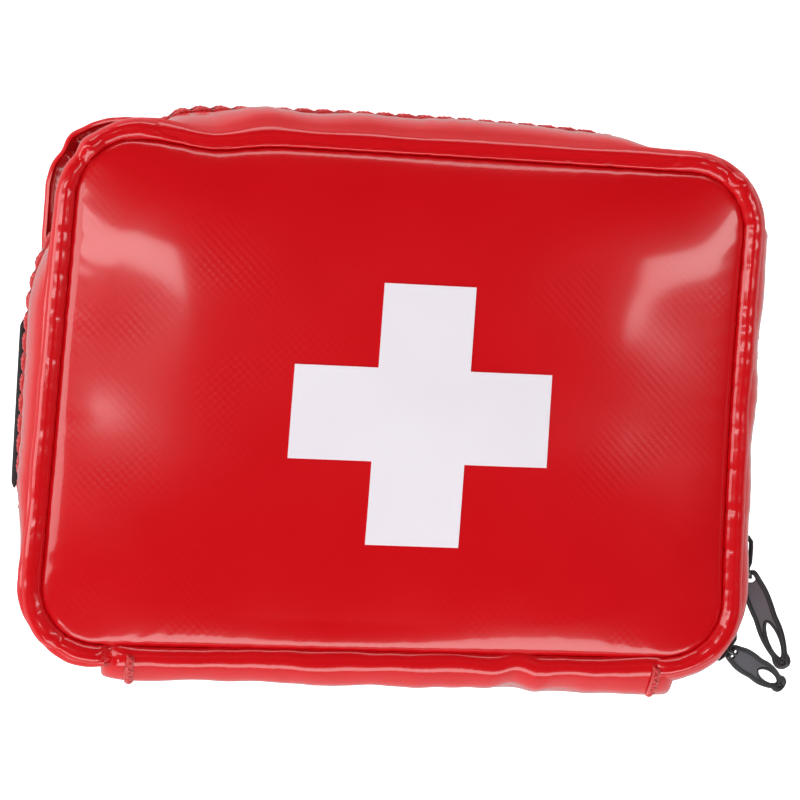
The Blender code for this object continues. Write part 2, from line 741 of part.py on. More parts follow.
def main():
    clear_scene()
    fabric = material("coated_fabric_red", RED, 0.28)
    dark_fabric = material("red_thread", DARK_RED, 0.6)
    foam = material("foam_grey", "3A3B3E", 0.9)
    film = material("cross_film_white", "F2F0F2", 0.45)
    tape = material("zip_tape_black", BLACK, 0.85)
    nylon = material("zip_coil_black", "151516", 0.45)
    metal = material("enamelled_metal_black", "1A1A1C", 0.35, 0.6)
    webbing = material("webbing_black", "242325", 0.85)
    plastic = material("pull_plastic_grey", "3C3A40", 0.45)
    gauze = material("gauze_white", "EDEBE4", 0.9)
    paper = material("paper_wrap", "E8EAEC", 0.6)
    foil = material("foil_gold", "C9A24A", 0.25, 1.0)
    glove = material("glove_blue", "6FA3D8", 0.5)
    sachet = material("sachet_white", "F4F6F8", 0.3)
    adhesive = material("tape_white", "F0ECE2", 0.7)
    core = material("tape_core_card", "B99B6B", 0.8)
    skin = material("plaster_tan", "D9AE86", 0.7)
    steel = material("brushed_steel", "B9BBBE", 0.3, 1.0)
    net = material("pocket_mesh", "2B2B2E", 0.8)
    card = material("card_white", "F3F3EF", 0.6)

    make_shell(fabric, dark_fabric, foam)
    make_cross(film)
    make_zip(tape, nylon, metal)
    make_hinge_strip(fabric, dark_fabric)
    make_belt_band(webbing)
    corner = (SEAM_HALF_WIDTH - CORNER_RADIUS, -(SEAM_HALF_HEIGHT - CORNER_RADIUS), ZIP_Z)
    make_slider("upper", metal, (SEAM_HALF_WIDTH, UPPER_SLIDER_Y, ZIP_Z))
    make_slider("lower", metal, corner)
    make_pull("upper", plastic, metal, UPPER_PULL_ROLL)
    make_pull("lower", plastic, metal, 0.0)
    make_lid_pocket(net, webbing, card)
    floor = make_contents(gauze, paper, foil, glove, sachet, adhesive, core, skin)
    dressing_top = floor + DRESSING
    make_tweezers(steel, dressing_top + CLEARANCE)
    make_scissors(steel, dressing_top + CLEARANCE + 0.0060)
    lid_pieces = ("front_", "lid_", "pocket_", "first_aid_card", "zip_tape_front", "zip_coil_front", "white_")
    hinge = Vector((0, HINGE_Y, ZIP_Z))
    for piece in bpy.data.objects:
        if piece.name.startswith(lid_pieces) and piece.location.length == 0:
            piece.data.transform(Matrix.Translation(-hinge))
            piece.location = hinge


main()
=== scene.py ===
"""Looks of a small soft first aid kit pouch, built round its frame.

The pouch lies on its back: +X is its right side, +Y its top edge and +Z points out of the front panel. Each
sub-assembly is a class that sews or moulds its own pieces, and each finish is named for its real material,
save the pull face, whose grey is a painted sheen on black plastic.
"""

from __future__ import annotations

import json
import logging
import math
import sys
from dataclasses import dataclass, field
from enum import Enum
from typing import Any, Callable, Sequence

import bpy
import numpy as np
from mathutils import Matrix, Vector

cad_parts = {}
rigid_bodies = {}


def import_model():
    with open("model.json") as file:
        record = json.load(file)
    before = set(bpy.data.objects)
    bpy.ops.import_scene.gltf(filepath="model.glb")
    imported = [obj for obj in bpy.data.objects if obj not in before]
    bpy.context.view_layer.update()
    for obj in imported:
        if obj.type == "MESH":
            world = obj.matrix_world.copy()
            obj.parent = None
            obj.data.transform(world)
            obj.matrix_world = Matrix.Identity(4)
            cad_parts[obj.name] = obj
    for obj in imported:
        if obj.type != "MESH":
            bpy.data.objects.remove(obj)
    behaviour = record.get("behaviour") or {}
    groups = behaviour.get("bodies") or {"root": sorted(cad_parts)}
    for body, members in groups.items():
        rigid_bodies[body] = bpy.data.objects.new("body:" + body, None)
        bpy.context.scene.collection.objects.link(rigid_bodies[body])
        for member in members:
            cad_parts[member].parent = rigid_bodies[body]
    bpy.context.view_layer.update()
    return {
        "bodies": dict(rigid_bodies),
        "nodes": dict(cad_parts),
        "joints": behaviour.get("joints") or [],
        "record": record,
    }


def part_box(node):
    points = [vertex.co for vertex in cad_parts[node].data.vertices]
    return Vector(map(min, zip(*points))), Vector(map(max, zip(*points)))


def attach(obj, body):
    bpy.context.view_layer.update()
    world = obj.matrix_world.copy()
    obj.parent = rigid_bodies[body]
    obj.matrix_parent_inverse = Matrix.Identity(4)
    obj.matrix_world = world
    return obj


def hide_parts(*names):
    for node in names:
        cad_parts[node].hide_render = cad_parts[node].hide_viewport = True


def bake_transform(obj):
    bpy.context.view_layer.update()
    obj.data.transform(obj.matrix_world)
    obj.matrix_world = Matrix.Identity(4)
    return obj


LOG = logging.getLogger("first_aid_kit")
MM = 0.001
WELT_LINE = 2.5 * MM  # offset outside the seam along which the welts are measured
WALL_LINE = 5.0 * MM  # offset outside the seam along which the side walls and topstitches are measured
ZIP_EDGE = 3.8 * MM  # from the parting plane to the zip edge of either wall
Array = np.ndarray
Values = dict[Any, Any]


# Colour, nodes and finishes --------------------------------------------------------------------------------


def linear(hex_colour: str) -> tuple[float, float, float, float]:
    """Turn an sRGB hex colour into linear light.

    Args:
        hex_colour: Six hex digits.

    Returns:
        Linear red, green, blue and an alpha of one.
    """
    parts = [int(hex_colour[i : i + 2], 16) / 255 for i in (0, 2, 4)]
    red, green, blue = [c / 12.92 if c <= 0.04045 else ((c + 0.055) / 1.055) ** 2.4 for c in parts]
    return red, green, blue, 1.0


def add_node(tree: bpy.types.NodeTree, kind: str, values: Values | None = None, **settings: Any) -> Any:
    """Add a shader node with its settings, input values and incoming links.

    Args:
        tree: The material's or world's node tree.
        kind: The node's type name.
        values: Input name or index to a value, or to an output socket to link from.
        settings: Attributes to set on the node.

    Returns:
        The new node.
    """
    node = tree.nodes.new(kind)
    for name, value in settings.items():
        setattr(node, name, value)
    for key, value in (values or {}).items():
        if isinstance(value, bpy.types.NodeSocket):
            tree.links.new(value, node.inputs[key])
        else:
            node.inputs[key].default_value = value
    return node


class Surface(Enum):
    """How a finish was made, which decides its relief."""

    WOVEN = "woven"
    RIBBED = "ribbed"
    TWISTED = "twisted"
    WRINKLED = "wrinkled"
    GAUZE = "gauze"
    BRUSHED = "brushed"
    GRAINED = "grained"


@dataclass(frozen=True)
class Finish:
    """One real material with its surface.

    Sizes are in metres. The relief follows the piece's own UV map, which holds metres along and across it.
    """

    name: str
    colour: str
    shade: str
    roughness: float
    surface: Surface
    pitch: float = 1.0 * MM
    depth: float = 0.05 * MM
    metallic: float = 0.0
    coat: float = 0.0
    coat_roughness: float = 0.1
    sheen: float = 0.0
    specular: float = 0.5
    variation: float = 0.35
    relief_from_uv: bool = True

    def place(self, tree: bpy.types.NodeTree) -> Any:
        """Return the socket that gives a point's place on the piece, in metres."""
        if self.relief_from_uv:
            return add_node(tree, "ShaderNodeUVMap", uv_map="UVMap").outputs["UV"]
        return add_node(tree, "ShaderNodeTexCoord").outputs["Object"]

    def wave(self, tree: bpy.types.NodeTree, place: Any, direction: str, pitch: float) -> Any:
        """Return the height socket of one set of parallel threads."""
        bands = add_node(
            tree,
            "ShaderNodeTexWave",
            {"Vector": place, "Scale": math.pi / (10 * pitch), "Distortion": 0.0},
            bands_direction=direction,
            wave_profile="SIN",
        )
        return bands.outputs["Fac"]

    def relief(self, tree: bpy.types.NodeTree, place: Any) -> Any:
        """Return the height socket for this finish's surface, from 0 to 1."""
        grain = {"Vector": place, "Scale": 1 / self.pitch, "Detail": 3.0}
        noise = add_node(tree, "ShaderNodeTexNoise", grain)
        if self.surface in (Surface.WRINKLED, Surface.GRAINED):
            return noise.outputs["Fac"]
        across = self.wave(tree, place, "X", self.pitch)
        if self.surface in (Surface.RIBBED, Surface.TWISTED):
            return across
        if self.surface is Surface.BRUSHED:
            drawn_out = add_node(tree, "ShaderNodeMapping", {"Vector": place, "Scale": (0.04, 1.0, 1.0)})
            scratches = {"Vector": drawn_out.outputs[0], "Scale": 1 / self.pitch, "Detail": 2.0}
            return add_node(tree, "ShaderNodeTexNoise", scratches).outputs["Fac"]
        along = self.wave(tree, place, "Y", self.pitch)
        mixed = add_node(tree, "ShaderNodeMath", {0: across, 1: along}, operation="MULTIPLY").outputs[0]
        fuzz = add_node(tree, "ShaderNodeMath", {0: noise.outputs["Fac"], 1: 0.25}, operation="MULTIPLY")
        return add_node(tree, "ShaderNodeMath", {0: mixed, 1: fuzz.outputs[0]}, operation="ADD").outputs[0]

    def build(self) -> bpy.types.Material:
        """Make the material.

        Returns:
            The finished Blender material.
        """
        made = bpy.data.materials.new(self.name)
        made.use_nodes = True
        tree = made.node_tree
        tree.nodes.clear()
        place = self.place(tree)
        cloud = add_node(tree, "ShaderNodeTexNoise", {"Vector": place, "Scale": 45.0, "Detail": 4.0})
        ramp = add_node(tree, "ShaderNodeValToRGB", {"Fac": cloud.outputs["Fac"]})
        ramp.color_ramp.elements[0].position = 0.5 - self.variation
        ramp.color_ramp.elements[1].position = 0.5 + self.variation
        ramp.color_ramp.elements[0].color = linear(self.shade)
        ramp.color_ramp.elements[1].color = linear(self.colour)
        height = self.relief(tree, place)
        bump = add_node(tree, "ShaderNodeBump", {"Height": height, "Distance": self.depth, "Strength": 1.0})
        rough = add_node(
            tree,
            "ShaderNodeMapRange",
            {
                "Value": cloud.outputs["Fac"],
                "To Min": max(0.02, self.roughness - 0.05),
                "To Max": min(1.0, self.roughness + 0.05),
            },
        )
        shader = add_node(
            tree,
            "ShaderNodeBsdfPrincipled",
            {
                "Base Color": ramp.outputs["Color"],
                "Roughness": rough.outputs["Result"],
                "Metallic": self.metallic,
                "Coat Weight": self.coat,
                "Coat Roughness": self.coat_roughness,
                "Sheen Weight": self.sheen,
                "Specular IOR Level": self.specular,
                "Normal": bump.outputs["Normal"],
            },
        )
        add_node(tree, "ShaderNodeOutputMaterial", {"Surface": shader.outputs["BSDF"]})
        made.diffuse_color = linear(self.colour)
        return made


@dataclass(frozen=True)
class CoatedTarpaulin(Finish):
    """PVC-coated polyester: a smooth wet-looking skin through which the woven scrim shows in patches.

    The scrim lies on the bias, and shows most where the coating is thin.
    """

    scrim: float = 1.4 * MM
    bias: float = math.pi / 4
    thinnest: float = 0.85
    thickest: float = 0.08
    peel: float = 0.7

    def relief(self, tree: bpy.types.NodeTree, place: Any) -> Any:
        """Return the height of the scrim under the coating, with a faint orange peel over it."""
        turn = {"Vector": place, "Rotation": (0, 0, self.bias)}
        turned = add_node(tree, "ShaderNodeMapping", turn).outputs[0]
        across = self.wave(tree, turned, "X", self.scrim)
        along = self.wave(tree, turned, "Y", self.scrim)
        grid = add_node(tree, "ShaderNodeMath", {0: across, 1: along}, operation="ADD").outputs[0]
        patch = add_node(tree, "ShaderNodeTexNoise", {"Vector": place, "Scale": 60.0, "Detail": 2.0})
        shown = add_node(
            tree,
            "ShaderNodeMapRange",
            {
                "Value": patch.outputs["Fac"],
                "From Min": 0.42,
                "From Max": 0.62,
                "To Min": self.thickest,
                "To Max": self.thinnest,
            },
        ).outputs["Result"]
        grid = add_node(tree, "ShaderNodeMath", {0: grid, 1: shown}, operation="MULTIPLY").outputs[0]
        skin = add_node(tree, "ShaderNodeTexNoise", {"Vector": place, "Scale": 500.0, "Detail": 2.0})
        peel = add_node(tree, "ShaderNodeMath", {0: skin.outputs["Fac"], 1: self.peel}, operation="MULTIPLY")
        return add_node(tree, "ShaderNodeMath", {0: grid, 1: peel.outputs[0]}, operation="ADD").outputs[0]


# PVC tarpaulin, calendered: a wet shine over a fine woven grid.
RED_PVC = CoatedTarpaulin(
    "coated_fabric_red",
    "DC0C17",
    "D60A14",
    0.24,
    Surface.WOVEN,
    depth=0.011 * MM,
    coat=0.6,
    coat_roughness=0.08,
    specular=0.3,
    variation=0.3,
)
# Thick polyester thread, three-ply: fibrous, so it looks satin with bright ticks along each ply.
RED_THREAD = Finish(
    "red_thread", "EC3537", "C41C22", 0.5, Surface.TWISTED, pitch=0.35 * MM, depth=0.05 * MM, sheen=0.35
)
# Screen-printed white film: flat and nearly matt, so it reads as plain white.
WHITE_FILM = Finish(
    "cross_film_white", "FCF5FC", "F8EFF8", 0.55, Surface.GRAINED, pitch=0.6 * MM, depth=0.01 * MM
)
# Woven polyester zip tape: matt black with a fine herringbone.
ZIP_TAPE = Finish(
    "zip_tape_black", "1B1A1C", "121113", 0.85, Surface.WOVEN, pitch=0.7 * MM, depth=0.12 * MM, sheen=0.2
)
# Extruded nylon monofilament: smooth and slightly shiny.
NYLON_COIL = Finish(
    "zip_coil_black", "18171A", "111013", 0.38, Surface.GRAINED, pitch=0.5 * MM, depth=0.02 * MM
)
# Black enamel on die-cast zinc: glossy with soft edges.
ENAMEL = Finish(
    "enamelled_metal_black",
    "2A292C",
    "1D1C1F",
    0.32,
    Surface.GRAINED,
    pitch=0.8 * MM,
    depth=0.02 * MM,
    coat=0.4,
    relief_from_uv=False,
)
# Moulded rubbery plastic: satin black rim.
PULL_RIM = Finish(
    "pull_rim", "2C2B2E", "232225", 0.42, Surface.GRAINED, pitch=0.4 * MM, depth=0.015 * MM, coat=0.15
)
# The pull's recessed face: the same black plastic, painted a soft grey as a painted sheen for the light the
# face catches.
PULL_FACE_PAINTED_SHEEN = Finish(
    "pull_plastic_grey", "68646B", "5B575E", 0.5, Surface.GRAINED, pitch=0.25 * MM, depth=0.02 * MM
)
# Woven polypropylene webbing: matt black ribs across its width.
WEBBING = Finish(
    "webbing_black", "353335", "262527", 0.8, Surface.WOVEN, pitch=1.1 * MM, depth=0.2 * MM, sheen=0.25
)
FOAM = Finish(
    "foam_grey",
    "4A4B4F",
    "3C3D41",
    0.9,
    Surface.GRAINED,
    pitch=0.4 * MM,
    depth=0.08 * MM,
    relief_from_uv=False,
)
# Cotton gauze: matt, open weave.
GAUZE = Finish(
    "gauze_white", "F1EFE8", "E2DFD6", 0.95, Surface.GAUZE, pitch=0.9 * MM, depth=0.2 * MM, sheen=0.2
)
PAPER = Finish("paper_wrap", "EEF1F3", "DFE5EA", 0.55, Surface.WRINKLED, pitch=6 * MM, depth=0.5 * MM)
# Metallised polyester film, folded: bright, creased and gold.
FOIL = Finish(
    "foil_gold", "D9AE4E", "B98A33", 0.22, Surface.WRINKLED, pitch=7 * MM, depth=0.9 * MM, metallic=1.0
)
GLOVE_FILM = Finish(
    "glove_blue", "7FB2E3", "679FD6", 0.3, Surface.WRINKLED, pitch=6 * MM, depth=0.9 * MM, coat=0.4
)
SACHET = Finish("sachet_white", "F6F8FA", "E6ECF1", 0.3, Surface.WRINKLED, pitch=4 * MM, depth=0.3 * MM)
ADHESIVE = Finish("tape_white", "F2EEE4", "E6E0D2", 0.75, Surface.RIBBED, pitch=0.45 * MM, depth=0.05 * MM)
CARD_CORE = Finish(
    "tape_core_card",
    "BF9F6E",
    "A98A5A",
    0.85,
    Surface.GRAINED,
    pitch=0.7 * MM,
    depth=0.05 * MM,
    relief_from_uv=False,
)
PLASTER = Finish("plaster_tan", "DDB38B", "CFA27A", 0.75, Surface.WOVEN, pitch=0.6 * MM, depth=0.08 * MM)
# Stainless steel, brushed along its length: fine long scratches that stretch the highlights.
STEEL = Finish(
    "brushed_steel",
    "C9CBCE",
    "B4B7BB",
    0.27,
    Surface.BRUSHED,
    pitch=0.15 * MM,
    depth=0.01 * MM,
    metallic=1.0,
    relief_from_uv=False,
)
CARD = Finish("card_white", "F4F4F0", "E9E9E3", 0.6, Surface.GRAINED, pitch=0.5 * MM, depth=0.02 * MM)


@dataclass(frozen=True)
class Net(Finish):
    """Warp-knitted net: the gaps between its threads are clear, so what lies under it shows through."""

    gap: float = 1.6 * MM

    def build(self) -> bpy.types.Material:
        """Make the net, with its holes cut by a transparent shader."""
        made = super().build()
        tree = made.node_tree
        shader = next(n for n in tree.nodes if n.type == "BSDF_PRINCIPLED")
        output = next(n for n in tree.nodes if n.type == "OUTPUT_MATERIAL")
        place = self.place(tree)
        across = self.wave(tree, place, "X", self.gap)
        along = self.wave(tree, place, "Y", self.gap)
        most = add_node(tree, "ShaderNodeMath", {0: across, 1: along}, operation="MAXIMUM").outputs[0]
        solid = add_node(tree, "ShaderNodeMath", {0: most, 1: 0.72}, operation="GREATER_THAN").outputs[0]
        clear = add_node(tree, "ShaderNodeBsdfTransparent")
        mix = add_node(tree, "ShaderNodeMixShader", {0: solid, 1: clear.outputs[0], 2: shader.outputs[0]})
        tree.links.new(mix.outputs[0], output.inputs["Surface"])
        return made


POCKET_NET = Net("pocket_mesh", "2E2E32", "222226", 0.8, Surface.WOVEN, pitch=0.8 * MM, depth=0.1 * MM)


class Wardrobe:
    """Keeps one Blender material for each finish."""

    def __init__(self) -> None:
        """Start with no materials made."""
        self._made: dict[str, bpy.types.Material] = {}

    def get(self, finish: Finish) -> bpy.types.Material:
        """Return the finish's material, made the first time it is asked for."""
        if finish.name not in self._made:
            self._made[finish.name] = finish.build()
        return self._made[finish.name]


WARDROBE = Wardrobe()


# Mesh helpers ----------------------------------------------------------------------------------------------


@dataclass
class Cloth:
    """Collects vertices, faces and UVs in metres, then becomes one mesh object."""

    name: str
    points: list[Array] = field(default_factory=list)
    faces: list[tuple[int, ...]] = field(default_factory=list)
    uvs: list[tuple[float, float]] = field(default_factory=list)
    slots: list[int] = field(default_factory=list)
    count: int = 0

    def lattice(
        self,
        points: Array,
        u: Array,
        v: Array,
        wrap_u: bool = False,
        wrap_v: bool = False,
        cap_u: bool = False,
        slot: int = 0,
        flip: bool = False,
    ) -> None:
        """Add a lattice of points as quads.

        Args:
            points: Places, of shape (rows, columns, 3).
            u: Metres along the rows, one more value than rows if they wrap.
            v: Metres along the columns, one more value than columns if they wrap.
            wrap_u: The last row joins the first.
            wrap_v: The last column joins the first.
            cap_u: Close the first and last row with a face.
            slot: Material index of these faces.
            flip: Turn the faces round.
        """
        rows, columns = points.shape[:2]
        base = self.count
        self.points.append(points.reshape(-1, 3))
        self.count += rows * columns
        for i in range(rows - (not wrap_u)):
            a, b = i * columns + base, ((i + 1) % rows) * columns + base
            for j in range(columns - (not wrap_v)):
                k = (j + 1) % columns
                quad = [(a + j, u[i], v[j]), (b + j, u[i + 1], v[j]), (b + k, u[i + 1], v[j + 1])]
                quad.append((a + k, u[i], v[j + 1]))
                if flip:
                    quad.reverse()
                self.faces.append(tuple(q[0] for q in quad))
                self.uvs += [(q[1], q[2]) for q in quad]
                self.slots.append(slot)
        if cap_u:
            for row, turn in ((0, False), (rows - 1, True)):
                ring = [row * columns + base + j for j in range(columns)]
                if turn != flip:
                    ring.reverse()
                self.faces.append(tuple(ring))
                self.uvs += [(u[0], v[0])] * columns
                self.slots.append(slot)

    def patch(self, ring: Sequence[int]) -> None:
        """Close a hole with one face."""
        self.faces.append(tuple(ring))
        self.uvs += [(0.0, 0.0)] * len(ring)
        self.slots.append(0)

    def map_from_above(self) -> None:
        """Take every UV from the point's own X and Y."""
        every = np.concatenate(self.points)
        self.uvs = [(every[k, 0], every[k, 1]) for face in self.faces for k in face]

    def finish(self, *finishes: Finish, smooth: bool = True) -> bpy.types.Object:
        """Turn what was collected into an object.

        Args:
            finishes: The finishes of its material slots.
            smooth: Shade it smooth.

        Returns:
            The linked object.
        """
        mesh = bpy.data.meshes.new(self.name)
        mesh.from_pydata(np.concatenate(self.points).tolist(), [], self.faces)
        layer = mesh.uv_layers.new(name="UVMap")
        layer.data.foreach_set("uv", np.array(self.uvs, np.float32).reshape(-1))
        mesh.polygons.foreach_set("material_index", np.array(self.slots, np.int32))
        for finish in finishes:
            mesh.materials.append(WARDROBE.get(finish))
        if smooth:
            mesh.shade_smooth()
        mesh.update()
        made = bpy.data.objects.new(self.name, mesh)
        bpy.context.scene.collection.objects.link(made)
        return made


def dress(piece: bpy.types.Object, body: str, slot: str, *nodes: str) -> bpy.types.Object:
    """Put a piece on its body and hide the frame nodes it stands for."""
    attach(piece, body)
    if nodes:
        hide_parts(*nodes)
    return piece


def lengths(points: Array) -> Array:
    """Return the running length along a list of points."""
    steps = np.linalg.norm(np.diff(points, axis=0), axis=1)
    return np.concatenate([[0.0], np.cumsum(steps)])


def smooth_line(points: Sequence[Sequence[float]], count: int) -> Array:
    """Resample a few points as an even smooth curve through them.

    Args:
        points: The points to go through.
        count: How many points to return.

    Returns:
        Points evenly spaced along a Catmull-Rom curve.
    """
    p = np.array(points, float)
    p = np.concatenate([[2 * p[0] - p[1]], p, [2 * p[-1] - p[-2]]])
    dense = []
    for k in range(1, len(p) - 2):
        a, b, c, d = p[k - 1 : k + 3]
        square, cube = 2 * a - 5 * b + 4 * c - d, 3 * b - a - 3 * c + d
        for t in np.linspace(0, 1, 16, endpoint=False):
            dense.append(0.5 * (2 * b + (c - a) * t + square * t * t + cube * t**3))
    dense.append(p[-2])
    curve = np.array(dense)
    run = lengths(curve)
    even = np.linspace(0, run[-1], count)
    return np.stack([np.interp(even, run, curve[:, k]) for k in range(p.shape[1])], 1)


class Ripple:
    """Seeded smooth irregularity: a sum of a few sine waves, periodic where it has to be."""

    def __init__(self, seed: int, period: float, low: int, high: int, waves: int = 7) -> None:
        """Pick the waves.

        Args:
            seed: Seed of the random draws.
            period: Length over which the ripple repeats.
            low: Fewest waves in one period.
            high: Most waves in one period.
            waves: How many sines are added.
        """
        draw = np.random.default_rng(seed)
        self.turns = 2 * math.pi * draw.integers(low, high + 1, waves) / period
        self.phase = draw.uniform(0, 2 * math.pi, waves)
        self.size = draw.uniform(0.5, 1.0, waves) / math.sqrt(waves)

    def __call__(self, s: Array) -> Array:
        """Return the ripple at each place, about -1 to 1."""
        s = np.asarray(s, float)
        return sum(a * np.sin(k * s + p) for a, k, p in zip(self.size, self.turns, self.phase))


class Crumple:
    """Seeded smooth irregularity over a plane, from crossing sine waves."""

    def __init__(self, seed: int, wavelength: float, waves: int = 12) -> None:
        """Pick the waves' directions and lengths."""
        draw = np.random.default_rng(seed)
        angle = draw.uniform(0, math.pi, waves)
        turns = 2 * math.pi / (wavelength * draw.uniform(0.7, 1.6, waves))
        self.kx, self.ky = turns * np.cos(angle), turns * np.sin(angle)
        self.phase = draw.uniform(0, 2 * math.pi, waves)
        self.scale = 1 / math.sqrt(waves)

    def __call__(self, x: Array, y: Array) -> Array:
        """Return the irregularity at each place, about -1 to 1."""
        total = sum(np.sin(a * x + b * y + p) for a, b, p in zip(self.kx, self.ky, self.phase))
        return total * self.scale


@dataclass
class Outline:
    """The pouch's rounded outline at some offset outside its seam, measured by running length."""

    half_width: float
    half_height: float
    radius: float
    offset: float = 0.0

    @property
    def flat_x(self) -> float:
        """Half length of the straight bottom and top sides."""
        return self.half_width - self.radius

    @property
    def flat_y(self) -> float:
        """Half length of the straight left and right sides."""
        return self.half_height - self.radius

    @property
    def corner(self) -> float:
        """Length of one corner's arc at this offset."""
        return math.pi / 2 * (self.radius + self.offset)

    @property
    def total(self) -> float:
        """Length of the whole outline at this offset."""
        return 4 * (self.flat_x + self.flat_y + self.corner)

    @property
    def zip_start(self) -> float:
        """Where the zip begins: the right end of the bottom side."""
        return 2 * self.flat_x

    @property
    def sides(self) -> list[float]:
        """Lengths of the four straight sides: bottom, right, top and left."""
        return [2 * self.flat_x, 2 * self.flat_y, 2 * self.flat_x, 2 * self.flat_y]

    @property
    def top_middle(self) -> float:
        """Running length at the middle of the top side."""
        return 3 * self.flat_x + 2 * self.flat_y + 2 * self.corner

    def corner_middle(self, corner: int) -> float:
        """Return the running length at the middle of a corner, counted from the bottom right."""
        return sum(self.sides[: corner + 1]) + (corner + 0.5) * self.corner

    def at(self, s: Array) -> tuple[Array, Array]:
        """Find places on the outline, anticlockwise from the left end of the bottom side.

        Args:
            s: Running lengths at this offset.

        Returns:
            Places on the seam itself (not offset) and outward directions, each of shape (n, 2).
        """
        s = np.mod(np.asarray(s, float), self.total)
        place, out = np.zeros((len(s), 2)), np.zeros((len(s), 2))
        start, angle = 0.0, -90.0
        centre = np.array([-self.flat_x, -self.flat_y])
        for side in self.sides:
            n = np.array([math.cos(math.radians(angle)), math.sin(math.radians(angle))])
            t = np.array([-n[1], n[0]])
            on = (s >= start) & (s < start + side)
            place[on] = centre + self.radius * n + np.outer(s[on] - start, t)
            out[on] = n
            start += side
            centre = centre + t * side
            on = (s >= start) & (s <= start + self.corner + 1e-12)
            a = np.radians(angle) + (s[on] - start) / self.corner * math.pi / 2
            out[on] = np.stack([np.cos(a), np.sin(a)], 1)
            place[on] = centre + self.radius * out[on]
            start += self.corner
            angle += 90.0
        return place, out


Shift = Callable[[Array, Array, Array], tuple[Array, Array]]


def sweep(outline: Outline, s: Array, section: Array, shift: Shift | None = None) -> Array:
    """Sweep a section of (offset, height) along the outline.

    Args:
        outline: Where to sweep.
        s: Running lengths of the rows.
        section: The section's points, of shape (m, 2).
        shift: Given s, the section's offsets and heights as grids, returns changed offsets and heights.

    Returns:
        Points of shape (len(s), m, 3).
    """
    place, out = outline.at(s)
    offsets = np.broadcast_to(section[:, 0], (len(s), len(section))).copy()
    heights = np.broadcast_to(section[:, 1], (len(s), len(section))).copy()
    if shift is not None:
        offsets, heights = shift(np.asarray(s), offsets, heights)
    points = np.empty((len(s), len(section), 3))
    points[:, :, :2] = place[:, None, :] + out[:, None, :] * offsets[:, :, None]
    points[:, :, 2] = heights
    return points


def rings(side: Array, third: Array, count: int) -> Array:
    """Return unit circles of count points, one for each pair of axes, of shape (n, count, 3)."""
    angles = 2 * math.pi * np.arange(count) / count
    across, through = np.cos(angles)[None, :, None], np.sin(angles)[None, :, None]
    return side[:, None, :] * across + third[:, None, :] * through


def bump_at(s: Array, where: float, width: float) -> Array:
    """Return a smooth bump of height one round one running length."""
    return np.exp(-(((s - where) / width) ** 2))


# The pouch -------------------------------------------------------------------------------------------------


@dataclass(frozen=True)
class Tuck:
    """How far the side wall is drawn in at one corner.

    side and end give the corner: 1 or -1 along X and along Y. With straight_side, the straight part of the
    left or right wall beside the corner stays where it is, so that a slider can run on it.
    """

    side: int
    end: int
    depth: float
    reach: float
    straight_side: bool = False


TUCKS = (
    Tuck(-1, 1, 6.5 * MM, 11 * MM),
    Tuck(1, 1, 5.8 * MM, 17 * MM, straight_side=True),
    Tuck(-1, -1, 2.6 * MM, 26 * MM),
)


